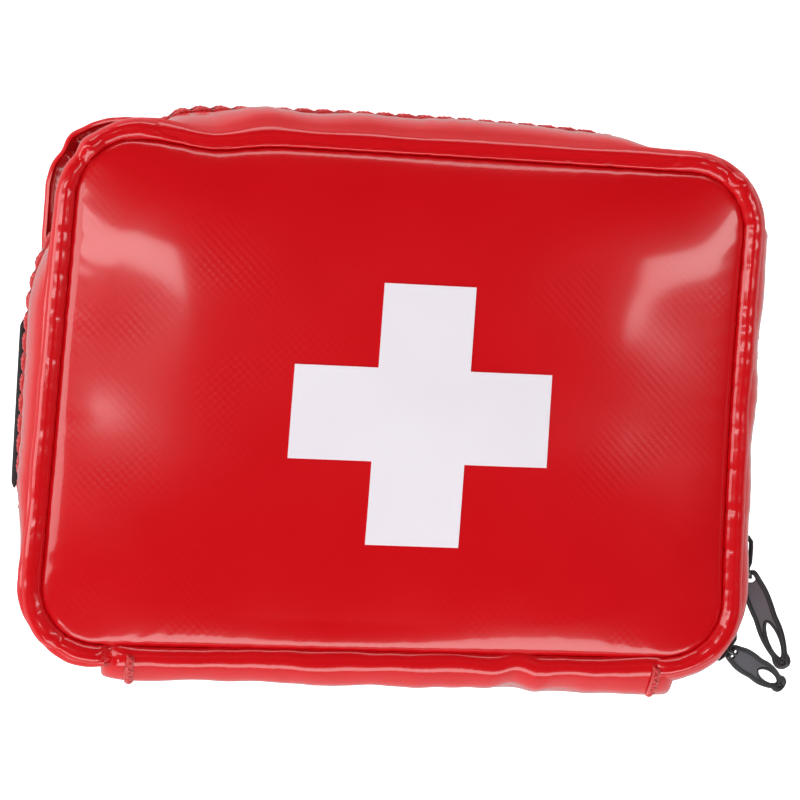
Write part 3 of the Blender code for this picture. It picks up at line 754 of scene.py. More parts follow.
@dataclass
class PouchSizes:
    """Sizes that the pouch's pieces share, from the frame's boxes and the sewn details."""

    half_width: float
    half_height: float
    crease_z: float
    crown: float
    zip_z: float
    back_z: float
    hinge_y: float
    edge: float
    radius: float = 14 * MM
    stitch: float = 4.6 * MM
    waist: float = 1.3 * MM
    top_dip: float = 1.6 * MM
    top_bulge: float = 1.9 * MM
    left_bulge: float = 0.4 * MM
    tuck_up: float = 20 * MM
    tuck_fade: float = 7 * MM
    bulge_fade: float = 8 * MM

    @classmethod
    def from_frame(cls, record: dict[str, Any]) -> "PouchSizes":
        """Read the sizes off the frame.

        Args:
            record: The frame's record.

        Returns:
            The pouch's sizes.
        """
        trim = 0.3 * MM
        _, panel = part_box("front_panel")
        low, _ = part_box("front_welt")
        _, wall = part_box("back_gusset")
        back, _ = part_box("back_panel")
        hinge = next(j for j in record["behaviour"]["joints"] if j["name"] == "lid_hinge")
        crease = low.z + 1.8 * MM
        return cls(
            half_width=panel.x + trim,
            half_height=panel.y + trim,
            crease_z=crease,
            crown=panel.z - crease,
            zip_z=hinge["pos_m"][2],
            back_z=back.z,
            hinge_y=hinge["pos_m"][1],
            edge=wall.x - panel.x - trim,
        )

    def outline(self, offset: float = 0.0) -> Outline:
        """Return the outline at an offset outside the seam."""
        return Outline(self.half_width, self.half_height, self.radius, offset)

    def slouch(self, points: Array) -> Array:
        """Lean the soft front half out of square, as a stuffed pouch lies.

        Args:
            points: Places whose last axis is (x, y, z).

        Returns:
            The moved places: full at the front seam, none at the zip.
        """
        x, y, z = points[..., 0], points[..., 1], points[..., 2]
        share = np.clip((z - self.zip_z) / (self.crease_z - self.zip_z), 0, 1)
        share = share * share * (3 - 2 * share)
        a = np.clip(x / self.half_width, -1.1, 1.1)
        b = np.clip(y / self.half_height, -1.1, 1.1)
        moved = points.copy()
        for side, end, (dx, dy) in self.corner_shifts():
            near = (1 + side * a) * (1 + end * b) / 4
            moved[..., 0] += share * near * dx
            moved[..., 1] += share * near * dy
        waist = np.clip(1 - b * b, 0, 1) * np.clip(a, 0, 1) ** 2
        moved[..., 0] -= share * waist * self.waist
        dip = np.exp(-(((x + 46 * MM) / (9 * MM)) ** 2)) * np.clip(b, 0, 1) ** 4
        moved[..., 1] -= share * dip * self.top_dip
        return moved

    def corner_shifts(self) -> list[tuple[int, int, tuple[float, float]]]:
        """Return how far each corner of the front seam is pulled out of square."""
        return [
            (-1, 1, (2.2 * MM, 0.4 * MM)),
            (1, 1, (-0.9 * MM, 0.7 * MM)),
            (1, -1, (0.8 * MM, 1.8 * MM)),
            (-1, -1, (-1.3 * MM, -2.0 * MM)),
        ]

    def tuck(self, points: Array) -> Array:
        """Draw the side wall in at three of its corners, where the filling doesn't reach.

        Args:
            points: Places whose last axis is (x, y, z).

        Returns:
            The moved places: full at the zip, none at either panel's seam.
        """
        x, y, z = points[..., 0], points[..., 1], points[..., 2]
        low, high = self.back_z + 2 * MM, self.crease_z - 0.5 * MM
        t = np.clip((z - low) / (high - low), 0, 1)
        share = np.clip(4 * t * (1 - t), 0, 1) ** 0.5
        moved = points.copy()
        corner = np.array([self.half_width - self.radius, self.half_height - self.radius])
        for tuck in TUCKS:
            dx, dy = x * tuck.side - corner[0], y * tuck.end - corner[1]
            reach = np.hypot(np.minimum(dx, 0) / tuck.reach, np.minimum(dy, 0) / self.tuck_up)
            weight = np.exp(-(reach**2) * 2.2) * share * tuck.depth
            if tuck.straight_side:
                turn = np.clip(dy / self.tuck_fade, 0, 1)
                weight = weight * turn * turn * (3 - 2 * turn)
            away = np.maximum(np.hypot(np.maximum(dx, 0), np.maximum(dy, 0)), 1 * MM)
            moved[..., 0] -= tuck.side * weight * np.maximum(dx, 0) / away
            moved[..., 1] -= tuck.end * weight * np.maximum(dy, 0) / away
        top = np.clip((y - corner[1]) / self.bulge_fade, 0, 1) * np.clip(1 - (x / corner[0]) ** 2, 0, 1)
        left = np.clip((-x - corner[0]) / self.bulge_fade, 0, 1) * np.clip(1 - (y / corner[1]) ** 2, 0, 1)
        moved[..., 1] += share * top * self.top_bulge
        moved[..., 0] -= share * left * self.left_bulge
        return moved


@dataclass
class FrontPanel:
    """The crowned front panel and the film cross printed on it."""

    sizes: PouchSizes
    gather_depth: float = 0.05 * MM
    gather_reach: float = 2.6 * MM
    sag: float = 0.55 * MM
    shoulder: float = 0.61
    seam_depth: float = 1.6 * MM
    seam_lift: float = 0.4 * MM
    seam_width: float = 0.55 * MM
    lap: float = 0.012
    cross_bar: float = 0.357
    around: int = 720
    inward: int = 70

    def __post_init__(self) -> None:
        """Draw the irregularities once, so the panel and the cross share them."""
        total = self.sizes.outline().total
        self.gathers = Ripple(3, total, 38, 112, 16)
        self.dents = Crumple(5, 75 * MM, 9)
        self.fine = Crumple(8, 26 * MM, 10)

    def height(self, x: Array, y: Array) -> Array:
        """Return the height of the filled panel at each place, without its gathers."""
        s = self.sizes
        across = np.minimum(1.0, np.abs(x) / s.half_width)
        along = np.minimum(1.0, np.abs(y) / s.half_height)
        fullness = np.maximum(0.0, (1 - across**3.2) * (1 - along**3.0))
        dents = self.sag * self.dents(x, y) + 0.05 * MM * self.fine(x, y)
        return s.crease_z + s.crown * fullness**self.shoulder + dents * np.minimum(1, 3 * fullness)

    def sew(self) -> bpy.types.Object:
        """Make the panel: an even crown that turns down into its seam through small gathers."""
        s = self.sizes
        outline = s.outline()
        run = np.arange(self.around) * outline.total / self.around
        place, _ = outline.at(run)
        t = 1 + self.lap - (np.arange(self.inward) / self.inward) ** 1.25 * 0.997
        x = place[:, 0, None] * t[None, :]
        y = place[:, 1, None] * t[None, :]
        inside = np.linalg.norm(place, axis=1)[:, None] * (1 - t)[None, :]
        edge_in = np.minimum(s.half_width - np.abs(x), s.half_height - np.abs(y))
        edge_in = np.minimum(edge_in, inside)
        near = np.maximum(edge_in, 0)
        gathers = self.gather_depth * self.gathers(run)[:, None]
        pucker = np.abs(np.sin(math.pi * run / s.stitch))[:, None]
        z = self.height(x, y) + gathers * np.exp(-near / self.gather_reach)
        z = z - (self.seam_depth - self.seam_lift * pucker) * np.exp(-((near / self.seam_width) ** 1.3))
        points = s.slouch(np.stack([x, y, z], 2))
        cloth = Cloth("front_panel_skin")
        u = np.arange(self.around + 1)
        cloth.lattice(points, u, np.arange(self.inward), wrap_u=True, flip=True)
        cloth.patch([i * self.inward + self.inward - 1 for i in range(self.around)])
        cloth.map_from_above()
        made = cloth.finish(RED_PVC)
        return dress(made, "lid", "coated_fabric_red", "front_panel")

    def print_cross(self) -> bpy.types.Object:
        """Lay the equal-armed cross on the panel as a thin film that follows its crown."""
        low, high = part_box("white_cross")
        centre = (low + high) / 2
        half = (high.x - low.x) / 2
        bar = half * self.cross_bar
        lines = np.unique(np.concatenate([np.linspace(-half, half, 61), [-bar, bar]]))
        lift, thickness = 0.10 * MM, 0.12 * MM
        cloth = Cloth("white_cross_film")
        index: dict[tuple[int, int], int] = {}
        points = []
        for i, x in enumerate(lines):
            for j, y in enumerate(lines):
                if min(abs(x), abs(y)) <= bar + 1e-9:
                    index[i, j] = len(points)
                    points.append((x + centre.x, y + centre.y))
        flat = np.array(points)
        z = self.height(flat[:, 0], flat[:, 1]) + lift
        top = self.sizes.slouch(np.column_stack([flat, z + thickness]))
        under = self.sizes.slouch(np.column_stack([flat, z - thickness]))
        cloth.points = [top, under]
        below = len(points)
        borders: dict[frozenset[int], list[tuple[int, int]]] = {}
        for i in range(len(lines) - 1):
            for j in range(len(lines) - 1):
                keys = [(i, j), (i + 1, j), (i + 1, j + 1), (i, j + 1)]
                if not all(k in index for k in keys):
                    continue
                quad = [index[k] for k in keys]
                cloth.faces.append(tuple(quad))
                cloth.faces.append(tuple(k + below for k in reversed(quad)))
                for a, b in zip(quad, quad[1:] + quad[:1]):
                    borders.setdefault(frozenset((a, b)), []).append((a, b))
        for sides in borders.values():
            if len(sides) == 1:
                a, b = sides[0]
                cloth.faces.append((b, a, a + below, b + below))
        cloth.map_from_above()
        cloth.slots = [0] * len(cloth.faces)
        made = cloth.finish(WHITE_FILM, smooth=False)
        return dress(made, "lid", "cross_film_white", "white_cross")


# How high and how far out the welt's fold stands at a corner, by corner from the bottom right.
CORNER_FOLDS = {1: (0.75 * MM, 0.5 * MM), 2: (0.95 * MM, 0.7 * MM), 3: (0.35 * MM, 0.3 * MM)}


@dataclass
class Welt:
    """The turned seam edge that stands up round a panel, puckered by its hidden stitches."""

    sizes: PouchSizes
    front: bool
    pucker: float = 0.16 * MM
    pull_in: float = 0.18 * MM
    swell: tuple[float, float] = (0.16 * MM, 0.22 * MM)
    creases: tuple[float, float] = (0.035 * MM, 0.04 * MM)
    pressed: float = 2.7 * MM
    rolled: float = 3.6 * MM
    around: int = 1100

    def section(self) -> Array:
        """Return the welt's section for the front, as (offset, height above the seam)."""
        line = [
            (0.2, -1.9),
            (-0.35, -0.7),
            (-0.45, 0.3),
            (0.1, 1.15),
            (1.1, 1.6),
            (2.2, 1.7),
            (3.2, 1.4),
            (3.9, 0.5),
            (4.15, -0.5),
            (3.9, -1.5),
            (3.2, -2.0),
        ]
        return smooth_line(line, 26) * MM

    def shape(self, s: Array, offsets: Array, heights: Array) -> tuple[Array, Array]:
        """Pucker the welt at each stitch, let it wander, and fold it at three corners."""
        line = self.sizes.outline(WELT_LINE)
        total = line.total
        seed = 21 if self.front else 22
        swell = Ripple(seed, total, 5, 40, 10)(s)
        pinch = np.abs(np.sin(math.pi * s / (total / round(total / self.sizes.stitch)))) ** 0.7
        fold = Ripple(seed + 10, total, 60, 170, 14)(s)
        rise = np.clip((heights + 1.2 * MM) / (3.2 * MM), 0, 1)
        inner = np.clip(1 - offsets / (3.0 * MM), 0, 1)
        up, out = self.swell
        crease_up, crease_out = self.creases
        heights = heights + rise * (up * swell[:, None] + crease_up * fold[:, None])
        dimple = (1 - pinch) * np.clip(0.55 + 0.6 * Ripple(seed + 20, total, 30, 70, 9)(s), 0, 1.2)
        heights = heights - rise * inner * self.pucker * dimple[:, None]
        offsets = offsets + inner * self.pull_in * dimple[:, None]
        outer = np.clip(offsets / (4.7 * MM), 0, 1)
        offsets = offsets + outer * (out * swell[:, None] + crease_out * fold[:, None])
        if self.front:
            narrow = bump_at(s, line.corner_middle(2), 16 * MM)
            offsets = offsets * (1 - 0.12 * narrow[:, None])
            covered = self.under_strip(s)[:, None]
            heights = heights - covered * rise * self.pressed
            offsets = offsets * (1 - 0.25 * covered)
            heights = heights - self.along_top(s)[:, None] * rise * outer * self.rolled
        for corner, (up, out) in CORNER_FOLDS.items():
            at = line.corner_middle(corner)
            ridge, hollow = bump_at(s, at, 2.2 * MM), bump_at(s, at + 3.6 * MM, 1.8 * MM)
            pleat = (ridge - 0.7 * hollow)[:, None]
            heights = heights + rise * up * pleat
            offsets = offsets + outer * out * pleat
        return offsets, heights

    def along_top(self, s: Array) -> Array:
        """Return 1 along the top side, where the welt lies flat and the wall rolls straight over it."""
        line = self.sizes.outline(WELT_LINE)
        return 1 / (1 + np.exp((np.abs(s - line.top_middle) - line.flat_x + 4 * MM) / (1.6 * MM)))

    def under_strip(self, s: Array) -> Array:
        """Return 1 where the bottom strip lies over the welt, and 0 past its ends."""
        line = self.sizes.outline(WELT_LINE)
        x = np.mod(s + line.flat_x, line.total) - 2 * line.flat_x
        return 1 / (1 + np.exp((np.abs(x) - line.flat_x + 1.5 * MM) / (0.8 * MM)))

    def sew(self) -> bpy.types.Object:
        """Make the welt."""
        s = self.sizes
        line = s.outline(WELT_LINE)
        run = np.arange(self.around) * line.total / self.around
        section = self.section()
        points = sweep(line, run, section, self.shape)
        heights = points[:, :, 2]
        if self.front:
            points[:, :, 2] = s.crease_z + heights
        else:
            points[:, :, 2] = s.back_z + 1.75 * MM - heights * 0.93
        name = "front" if self.front else "back"
        cloth = Cloth(f"{name}_welt_skin")
        points = s.slouch(points)
        u = np.append(run, line.total)
        cloth.lattice(points, u, lengths(section), wrap_u=True, flip=not self.front)
        made = cloth.finish(RED_PVC)
        return dress(made, "lid" if self.front else "base", "coated_fabric_red", f"{name}_welt")


@dataclass
class SideWall:
    """One half of the side wall: it rolls over from the welt and is pulled into scallops along the zip."""

    sizes: PouchSizes
    front: bool
    slack: float = 0.4 * MM
    scallop: float = 0.55 * MM
    wander: float = 0.25 * MM
    rows: int = 1100

    def line(self) -> Array:
        """Return the wall's outer line as (offset, height), from the welt to the zip and turned in there."""
        s = self.sizes
        edge = s.edge / MM
        if self.front:
            top, zip_edge = s.crease_z / MM, (s.zip_z + ZIP_EDGE) / MM
            line = [
                (1.6, top - 0.6),
                (2.9, top + 0.75),
                (4.3, top - 0.15),
                (5.5, top - 2.6),
                (6.3, top - 6.6),
                (edge + 0.25, top - 11.0),
                (edge + 0.1, zip_edge + 1.6),
                (edge - 0.1, zip_edge + 0.2),
                (edge - 0.7, zip_edge - 0.1),
                (edge - 1.1, zip_edge + 0.8),
                (edge - 1.2, zip_edge + 4.0),
            ]
        else:
            low, zip_edge = s.back_z / MM + 3.6, (s.zip_z - ZIP_EDGE) / MM
            line = [
                (2.6, low),
                (3.9, low + 1.2),
                (4.9, low + 4.0),
                (5.7, low + 8.0),
                (edge, low + 12.5),
                (edge + 0.05, zip_edge - 1.6),
                (edge - 0.1, zip_edge - 0.2),
                (edge - 0.7, zip_edge + 0.1),
                (edge - 1.1, zip_edge - 0.8),
                (edge - 1.2, zip_edge - 4.0),
            ]
        return smooth_line(line, 44) * MM

    def shape(self, s: Array, offsets: Array, heights: Array) -> tuple[Array, Array]:
        """Wrinkle the wall and scallop its zip edge between the stitches."""
        sizes = self.sizes
        total = sizes.outline(WALL_LINE).total
        seed = 41 if self.front else 51
        zip_edge = sizes.zip_z + (ZIP_EDGE if self.front else -ZIP_EDGE)
        near = np.exp(-np.abs(heights - zip_edge) / (2.2 * MM))
        middle = np.clip(np.abs(heights - zip_edge) / (5 * MM), 0, 1)
        soft = Ripple(seed, total, 6, 26, 9)(s)
        sharp = Ripple(seed + 1, total, 50, 130, 14)(s)
        lean = Ripple(seed + 2, total, 4, 12, 5)(s)
        pinch = np.abs(np.sin(math.pi * s / sizes.stitch))
        outside = offsets > sizes.edge - 0.9 * MM
        free = np.clip((offsets - 3.0 * MM) / (2.5 * MM), 0, 1)
        if self.front:
            offsets, heights = self.roll_over(s, offsets, heights)
        soft, sharp = soft[:, None], sharp[:, None]
        offsets = offsets + free * middle * self.slack * soft + middle * near * 0.3 * MM * sharp
        offsets = offsets + 0.05 * MM * sharp * middle * free
        offsets = offsets - near * outside * self.scallop * (1 - pinch[:, None]) ** 1.5
        heights = heights + near * self.wander * lean[:, None]
        return offsets, heights

    def roll_over(self, s: Array, offsets: Array, heights: Array) -> tuple[Array, Array]:
        """Roll the wall straight over the welt along the top side, and tighten it at the top left corner."""
        line = self.sizes.outline(WALL_LINE)
        _, out = line.at(s)
        over = (np.clip((out[:, 1] - 0.7) / 0.3, 0, 1) ** 2)[:, None]
        begin = np.exp(-np.maximum(offsets - 1.6 * MM, 0) / (1.1 * MM))
        offsets = offsets - over * begin * 1.15 * MM
        heights = heights + over * begin * 1.55 * MM
        tight = bump_at(s, line.corner_middle(2), 17 * MM)[:, None]
        offsets = offsets - tight * 1.9 * MM * np.exp(-np.maximum(offsets - 2.9 * MM, 0) / (3.2 * MM))
        heights = heights - tight * begin * 0.8 * MM
        return offsets, heights

    def sew(self) -> bpy.types.Object:
        """Make the wall along the zip's whole run."""
        line = self.sizes.outline(WALL_LINE)
        under = 1.5 * MM  # how far the wall runs on under the bottom strip
        run = np.linspace(line.zip_start - under, line.total + under, self.rows)
        section = self.line()
        points = self.sizes.slouch(self.sizes.tuck(sweep(line, run, section, self.shape)))
        name = "front" if self.front else "back"
        cloth = Cloth(f"{name}_gusset_skin")
        cloth.lattice(points, run, lengths(section), flip=not self.front)
        made = cloth.finish(RED_PVC)
        return dress(made, "lid" if self.front else "base", "coated_fabric_red", f"{name}_gusset")


def twisted_thread(
    length: float, radius: float, arch: float, plies: int = 3, steps: int = 18, sides: int = 15
) -> Array:
    """Make one stitch of thick thread, lying along X with Z outwards.

    Args:
        length: From needle hole to needle hole.
        radius: Thread radius at its fullest.
        arch: How far its middle stands off the fabric.
        plies: Strands twisted together.
        steps: Sections along it.
        sides: Points round it.

    Returns:
        Points of shape (steps + 1, sides, 3).
    """
    t = np.linspace(0, 1, steps + 1)
    body = radius * np.maximum(0.12, np.sin(math.pi * t)) ** 0.5
    angle = 2 * math.pi * np.arange(sides) / sides
    twist = t[:, None] * 2.6 * math.pi
    lobes = 1 + 0.17 * np.cos(plies * (angle[None, :] - twist))
    r = body[:, None] * lobes
    points = np.empty((steps + 1, sides, 3))
    points[:, :, 0] = ((t - 0.5) * length)[:, None]
    points[:, :, 1] = r * np.cos(angle)[None, :]
    points[:, :, 2] = r * np.sin(angle)[None, :] + (arch * np.sin(math.pi * t) - 0.35 * radius)[:, None]
    return points


@dataclass
class Topstitch:
    """A row of thick twisted stitches along a zip edge."""

    sizes: PouchSizes
    front: bool
    radius: float = 0.62 * MM
    row: float = 4.5 * MM
    arch: float = 0.30 * MM

    def sew(self) -> bpy.types.Object:
        """Make the row, stitch by stitch."""
        s = self.sizes
        line = s.outline(WALL_LINE)
        start = line.zip_start
        count = int((line.total - start) / s.stitch)
        gap = (line.total - start) / count
        name = "front" if self.front else "back"
        height = s.zip_z + (self.row if self.front else -self.row)
        draw = np.random.default_rng(61 if self.front else 62)
        cloth = Cloth(f"{name}_topstitches")
        first = math.ceil(start / s.stitch)
        for k in range(count):
            where = (first + k + 0.5) * s.stitch
            if where > line.total - 0.2 * gap:
                break
            place, out = line.at(np.array([where]))
            n = Vector((*out[0], 0.0))
            along = Vector((-n.y, n.x, 0.0))
            up = Vector((0.0, 0.0, 1.0))
            lean = math.radians(7 + 3 * draw.normal()) * (1 if self.front else -1)
            stretch = (line.radius + s.edge) / (line.radius + line.offset)
            bend = stretch if abs(out[0, 0] * out[0, 1]) > 1e-9 else 1.0
            length = s.stitch * bend * (1.0 + 0.02 * draw.normal())
            shape = twisted_thread(length, self.radius * (1 + 0.05 * draw.normal()), self.arch)
            axis = along * math.cos(lean) + up * math.sin(lean)
            side = n.cross(axis)
            turn = np.array([list(axis), list(side), list(n)])
            base = np.array([*(place[0] + out[0] * (s.edge + 0.10 * MM)), height + 0.08 * MM * draw.normal()])
            points = s.slouch(s.tuck(shape @ turn + base))
            u = shape[:, 0, 0]
            v = np.linspace(0, 2 * math.pi * self.radius, shape.shape[1] + 1)
            cloth.lattice(points, u, v, wrap_v=True, cap_u=True, flip=True)
        made = cloth.finish(RED_THREAD)
        return dress(made, "lid" if self.front else "base", "red_thread", f"{name}_topstitch")


@dataclass
class ZipRow:
    """One woven tape with its nylon coil."""

    sizes: PouchSizes
    front: bool
    tooth: float = 1.35 * MM
    wire: float = 0.27 * MM

    def height(self, away: float) -> float:
        """Return the height of a point a given distance from the parting plane."""
        return self.sizes.zip_z + (away if self.front else -away)

    def weave_tape(self) -> bpy.types.Object:
        """Make the tape: a thin strip whose rolled edge carries the coil."""
        name = "front" if self.front else "back"
        low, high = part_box(f"zip_tape_{name}")
        inner = high.x - self.sizes.half_width - 0.45 * MM
        line = self.sizes.outline(inner)
        far = abs((high.z if self.front else low.z) - self.sizes.zip_z)
        thick, fold, edge = 0.45, 1.6, 3.0
        section = [(0.0, fold), (0.0, edge), (0.0, far / MM)]
        section += [(thick, far / MM), (thick, edge), (thick, fold), (0.22, 1.4)]
        flat = np.array([(inner + a * MM, self.height(b * MM)) for a, b in section])
        run = np.linspace(line.zip_start, line.total, 420)
        points = self.sizes.tuck(sweep(line, run, flat))
        cloth = Cloth(f"zip_tape_{name}_woven")
        v = np.append(lengths(flat), lengths(flat)[-1] + 0.3 * MM)
        cloth.lattice(points, run, v, wrap_v=True, cap_u=True, flip=self.front)
        made = cloth.finish(ZIP_TAPE)
        return dress(made, "lid" if self.front else "base", "zip_tape_black", f"zip_tape_{name}")

    def wind_coil(self) -> bpy.types.Object:
        """Wind the coil: each turn runs out to the parting plane, swells into a head and comes back."""
        name = "front" if self.front else "back"
        _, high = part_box(f"zip_coil_{name}")
        outer = high.x - self.sizes.half_width
        line = self.sizes.outline(outer - 0.7 * MM)
        count = int((line.total - line.zip_start) / self.tooth)
        per = 12
        t = np.arange(count * per + 1) / per
        run = line.zip_start + t * (line.total - line.zip_start) / count
        turn = 2 * math.pi * t + (math.pi if self.front else 0.0)
        place, out = line.at(run)
        offset = outer - 0.7 * MM + 0.42 * MM * np.cos(turn)
        near, far = 0.42 * MM, 2.6 * MM
        away = (near + far) / 2 - (far - near) / 2 * np.sin(turn)
        centre = np.column_stack([place + out * offset[:, None], [self.height(a) for a in away]])
        tangent = np.gradient(centre, axis=0)
        tangent /= np.linalg.norm(tangent, axis=1)[:, None]
        side = np.column_stack([out, np.zeros(len(out))])
        side -= tangent * np.sum(side * tangent, 1)[:, None]
        side /= np.linalg.norm(side, axis=1)[:, None]
        third = np.cross(tangent, side)
        points = self.sizes.tuck(centre[:, None, :] + rings(side, third, 6) * self.wire)
        cloth = Cloth(f"zip_coil_{name}_wound")
        cloth.lattice(points, run, np.linspace(0, 1.7 * MM, 7), wrap_v=True, cap_u=True, flip=True)
        made = cloth.finish(NYLON_COIL)
        return dress(made, "lid" if self.front else "base", "zip_coil_black", f"zip_coil_{name}")


@dataclass
class BottomStrip:
    """The doubled strip along the bottom wall, which is the hinge between base and lid. It is made as one
    sheet that stays put, on neither body.
    """

    sizes: PouchSizes
    columns: int = 260
    right_reach: float = 6.0 * MM
    thickness: float = 1.1 * MM
    rounding: float = 4.5 * MM

    def line(self) -> Array:
        """Return the strip's outer face as (distance below the middle, height), from back seam to front."""
        low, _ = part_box("hinge_strip_front")
        back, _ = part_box("hinge_strip_back")
        reach = -low.y / MM
        s = self.sizes
        seam, top = s.half_height / MM, s.crease_z / MM
        outer = [
            (seam + 1.6, back.z / MM),
            (seam + 5.0, back.z / MM + 3.0),
            (seam + 7.6, 15.0),
            (reach - 0.5, 21.0),
            (reach - 0.1, s.zip_z / MM),
            (reach - 0.2, 32.5),
            (reach - 0.6, 38.0),
            (reach - 1.6, 42.5),
            (seam + 6.4, top - 1.9),
            (seam + 4.2, top + 0.3),
            (seam + 2.2, top + 0.95),
            (seam + 0.6, top + 0.7),
            (seam - 0.5, top - 0.2),
            (seam - 0.4, top - 1.3),
        ]
        return smooth_line(outer, 84) * MM

    def sew(self) -> bpy.types.Object:
        """Make the strip as one sheet with rolled edges and rounded ends."""
        s = self.sizes
        _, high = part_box("hinge_strip_front")
        left, right = -high.x - 1.0 * MM, high.x + self.right_reach
        line = self.line()
        inward = np.gradient(line, axis=0)
        inward = np.column_stack([-inward[:, 1], inward[:, 0]])
        inward /= np.linalg.norm(inward, axis=1)[:, None]
        section = np.concatenate([line, (line + inward * self.thickness)[::-1]])
        u = np.linspace(left, right, self.columns)
        crumple, fine = Crumple(71, 22 * MM, 12), Crumple(72, 9 * MM, 12)
        points = np.empty((self.columns, len(section), 3))
        v = lengths(section)
        for i, x in enumerate(u):
            end = min(x - left, right - x) / self.rounding
            shrink = math.sqrt(max(0.0, 1 - (1 - min(1.0, end)) ** 2)) * 0.34 + 0.66
            middle = section.mean(0)
            ring = middle + (section - middle) * np.array([1.0, shrink])
            lump = 0.30 * MM * crumple(np.full(len(v), x), v) + 0.10 * MM * fine(np.full(len(v), x), v)
            dent = 1.1 * MM * bump_at(x, 30 * MM, 3.2 * MM) - 0.6 * MM * bump_at(x, 35.5 * MM, 2.6 * MM)
            facing = np.clip((ring[:, 1] - s.zip_z) / (10 * MM), 0, 1)
            y = -(ring[:, 0] + np.minimum(lump - dent * facing, 0.35 * MM))
            points[i] = np.column_stack([np.full(len(v), x), y, ring[:, 1]])
        points = s.slouch(points)
        cloth = Cloth("hinge_strip")
        v_all = np.append(v, v[-1] + self.thickness)
        cloth.lattice(points, u, v_all, wrap_v=True, cap_u=True)
        made = cloth.finish(RED_PVC)
        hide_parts("hinge_strip_back", "hinge_strip_front")
        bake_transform(made)
        return made

    def bartack(self, name: str) -> bpy.types.Object:
        """Stitch one bartack: long threads across the strip's face with short ones crossing over them."""
        low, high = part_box(name)
        front = "front" in name
        x = (low.x + high.x) / 2 + (self.right_reach if "right" in name else 0.0)
        outer = self.line()
        high_enough = outer[:, 1] > self.sizes.crease_z - 6.5 * MM
        low_enough = outer[:, 1] < self.sizes.back_z + 14 * MM
        keep = high_enough if front else low_enough
        keep &= outer[:, 0] > self.sizes.half_height + 1.4 * MM
        path = outer[keep]
        path = np.column_stack([np.full(len(path), x), -path[:, 0], path[:, 1]])
        run = lengths(path)
        total = run[-1]
        draw = np.random.default_rng(80 + len(name))
        cloth = Cloth(f"{name}_threads")
        rows = 46
        for k in range(7):
            shift = (k % 3 - 1) * 0.40 * MM + 0.06 * MM * draw.normal()
            lift = (0.25 + 0.16 * (k // 3)) * MM
            bow = 0.25 * MM * draw.normal()
            t = np.linspace(0.02 + 0.03 * draw.random(), 0.98 - 0.03 * draw.random(), rows)
            wander = shift + bow * np.sin(math.pi * t)
            self.thread(cloth, path, run, t * total, wander, np.full(rows, lift), 0.33 * MM)
        crossings = max(3, int(total / (1.1 * MM)))
        for k in range(crossings):
            centre = (k + 0.5) / crossings * total
            lean = 0.75 * MM if k % 2 else -0.75 * MM
            t = np.linspace(-1, 1, 12)
            lift = (0.82 - 0.45 * t * t) * MM
            self.thread(cloth, path, run, centre + t * lean, t * 0.78 * MM, lift, 0.29 * MM)
        points = np.concatenate(cloth.points)
        cloth.points = [self.sizes.slouch(points)]
        made = cloth.finish(RED_THREAD)
        return dress(made, "lid" if front else "base", "red_thread", name)

    def thread(
        self, cloth: Cloth, path: Array, run: Array, along: Array, aside: Array, lift: Array, radius: float
    ) -> None:
        """Run one thread over the strip's face.

        Args:
            cloth: Collects the thread.
            path: The face's line at this x.
            run: Running lengths of that line.
            along: Where the thread's points are along the line.
            aside: How far each is moved along X.
            lift: How far each stands off the face.
            radius: The thread's radius.
        """
        along = np.clip(along, 0, run[-1])
        y, z = np.interp(along, run, path[:, 1]), np.interp(along, run, path[:, 2])
        ty = np.interp(along, run, np.gradient(path[:, 1], run))
        tz = np.interp(along, run, np.gradient(path[:, 2], run))
        size = np.hypot(ty, tz)
        out = np.column_stack([np.zeros(len(y)), -tz / size, ty / size])
        if out[:, 1].mean() > 0 and out[:, 2].mean() < 0:
            out = -out
        centre = np.column_stack([path[0, 0] + aside, y, z]) + out * lift[:, None]
        tangent = np.gradient(centre, axis=0)
        tangent /= np.linalg.norm(tangent, axis=1)[:, None]
        side = np.cross(out, tangent)
        side /= np.linalg.norm(side, axis=1)[:, None]
        third = np.cross(tangent, side)
        sides = 9
        angles = 2 * math.pi * np.arange(sides) / sides
        twist = np.arange(len(y)) * 0.5
        lobes = radius * (1 + 0.15 * np.cos(3 * (angles[None, :] - twist[:, None])))
        points = centre[:, None, :] + rings(side, third, sides) * lobes[:, :, None]
        v = np.linspace(0, 2 * math.pi * radius, 10)
        cloth.lattice(points, np.arange(len(y)) * 0.2 * MM, v, wrap_v=True, cap_u=True)


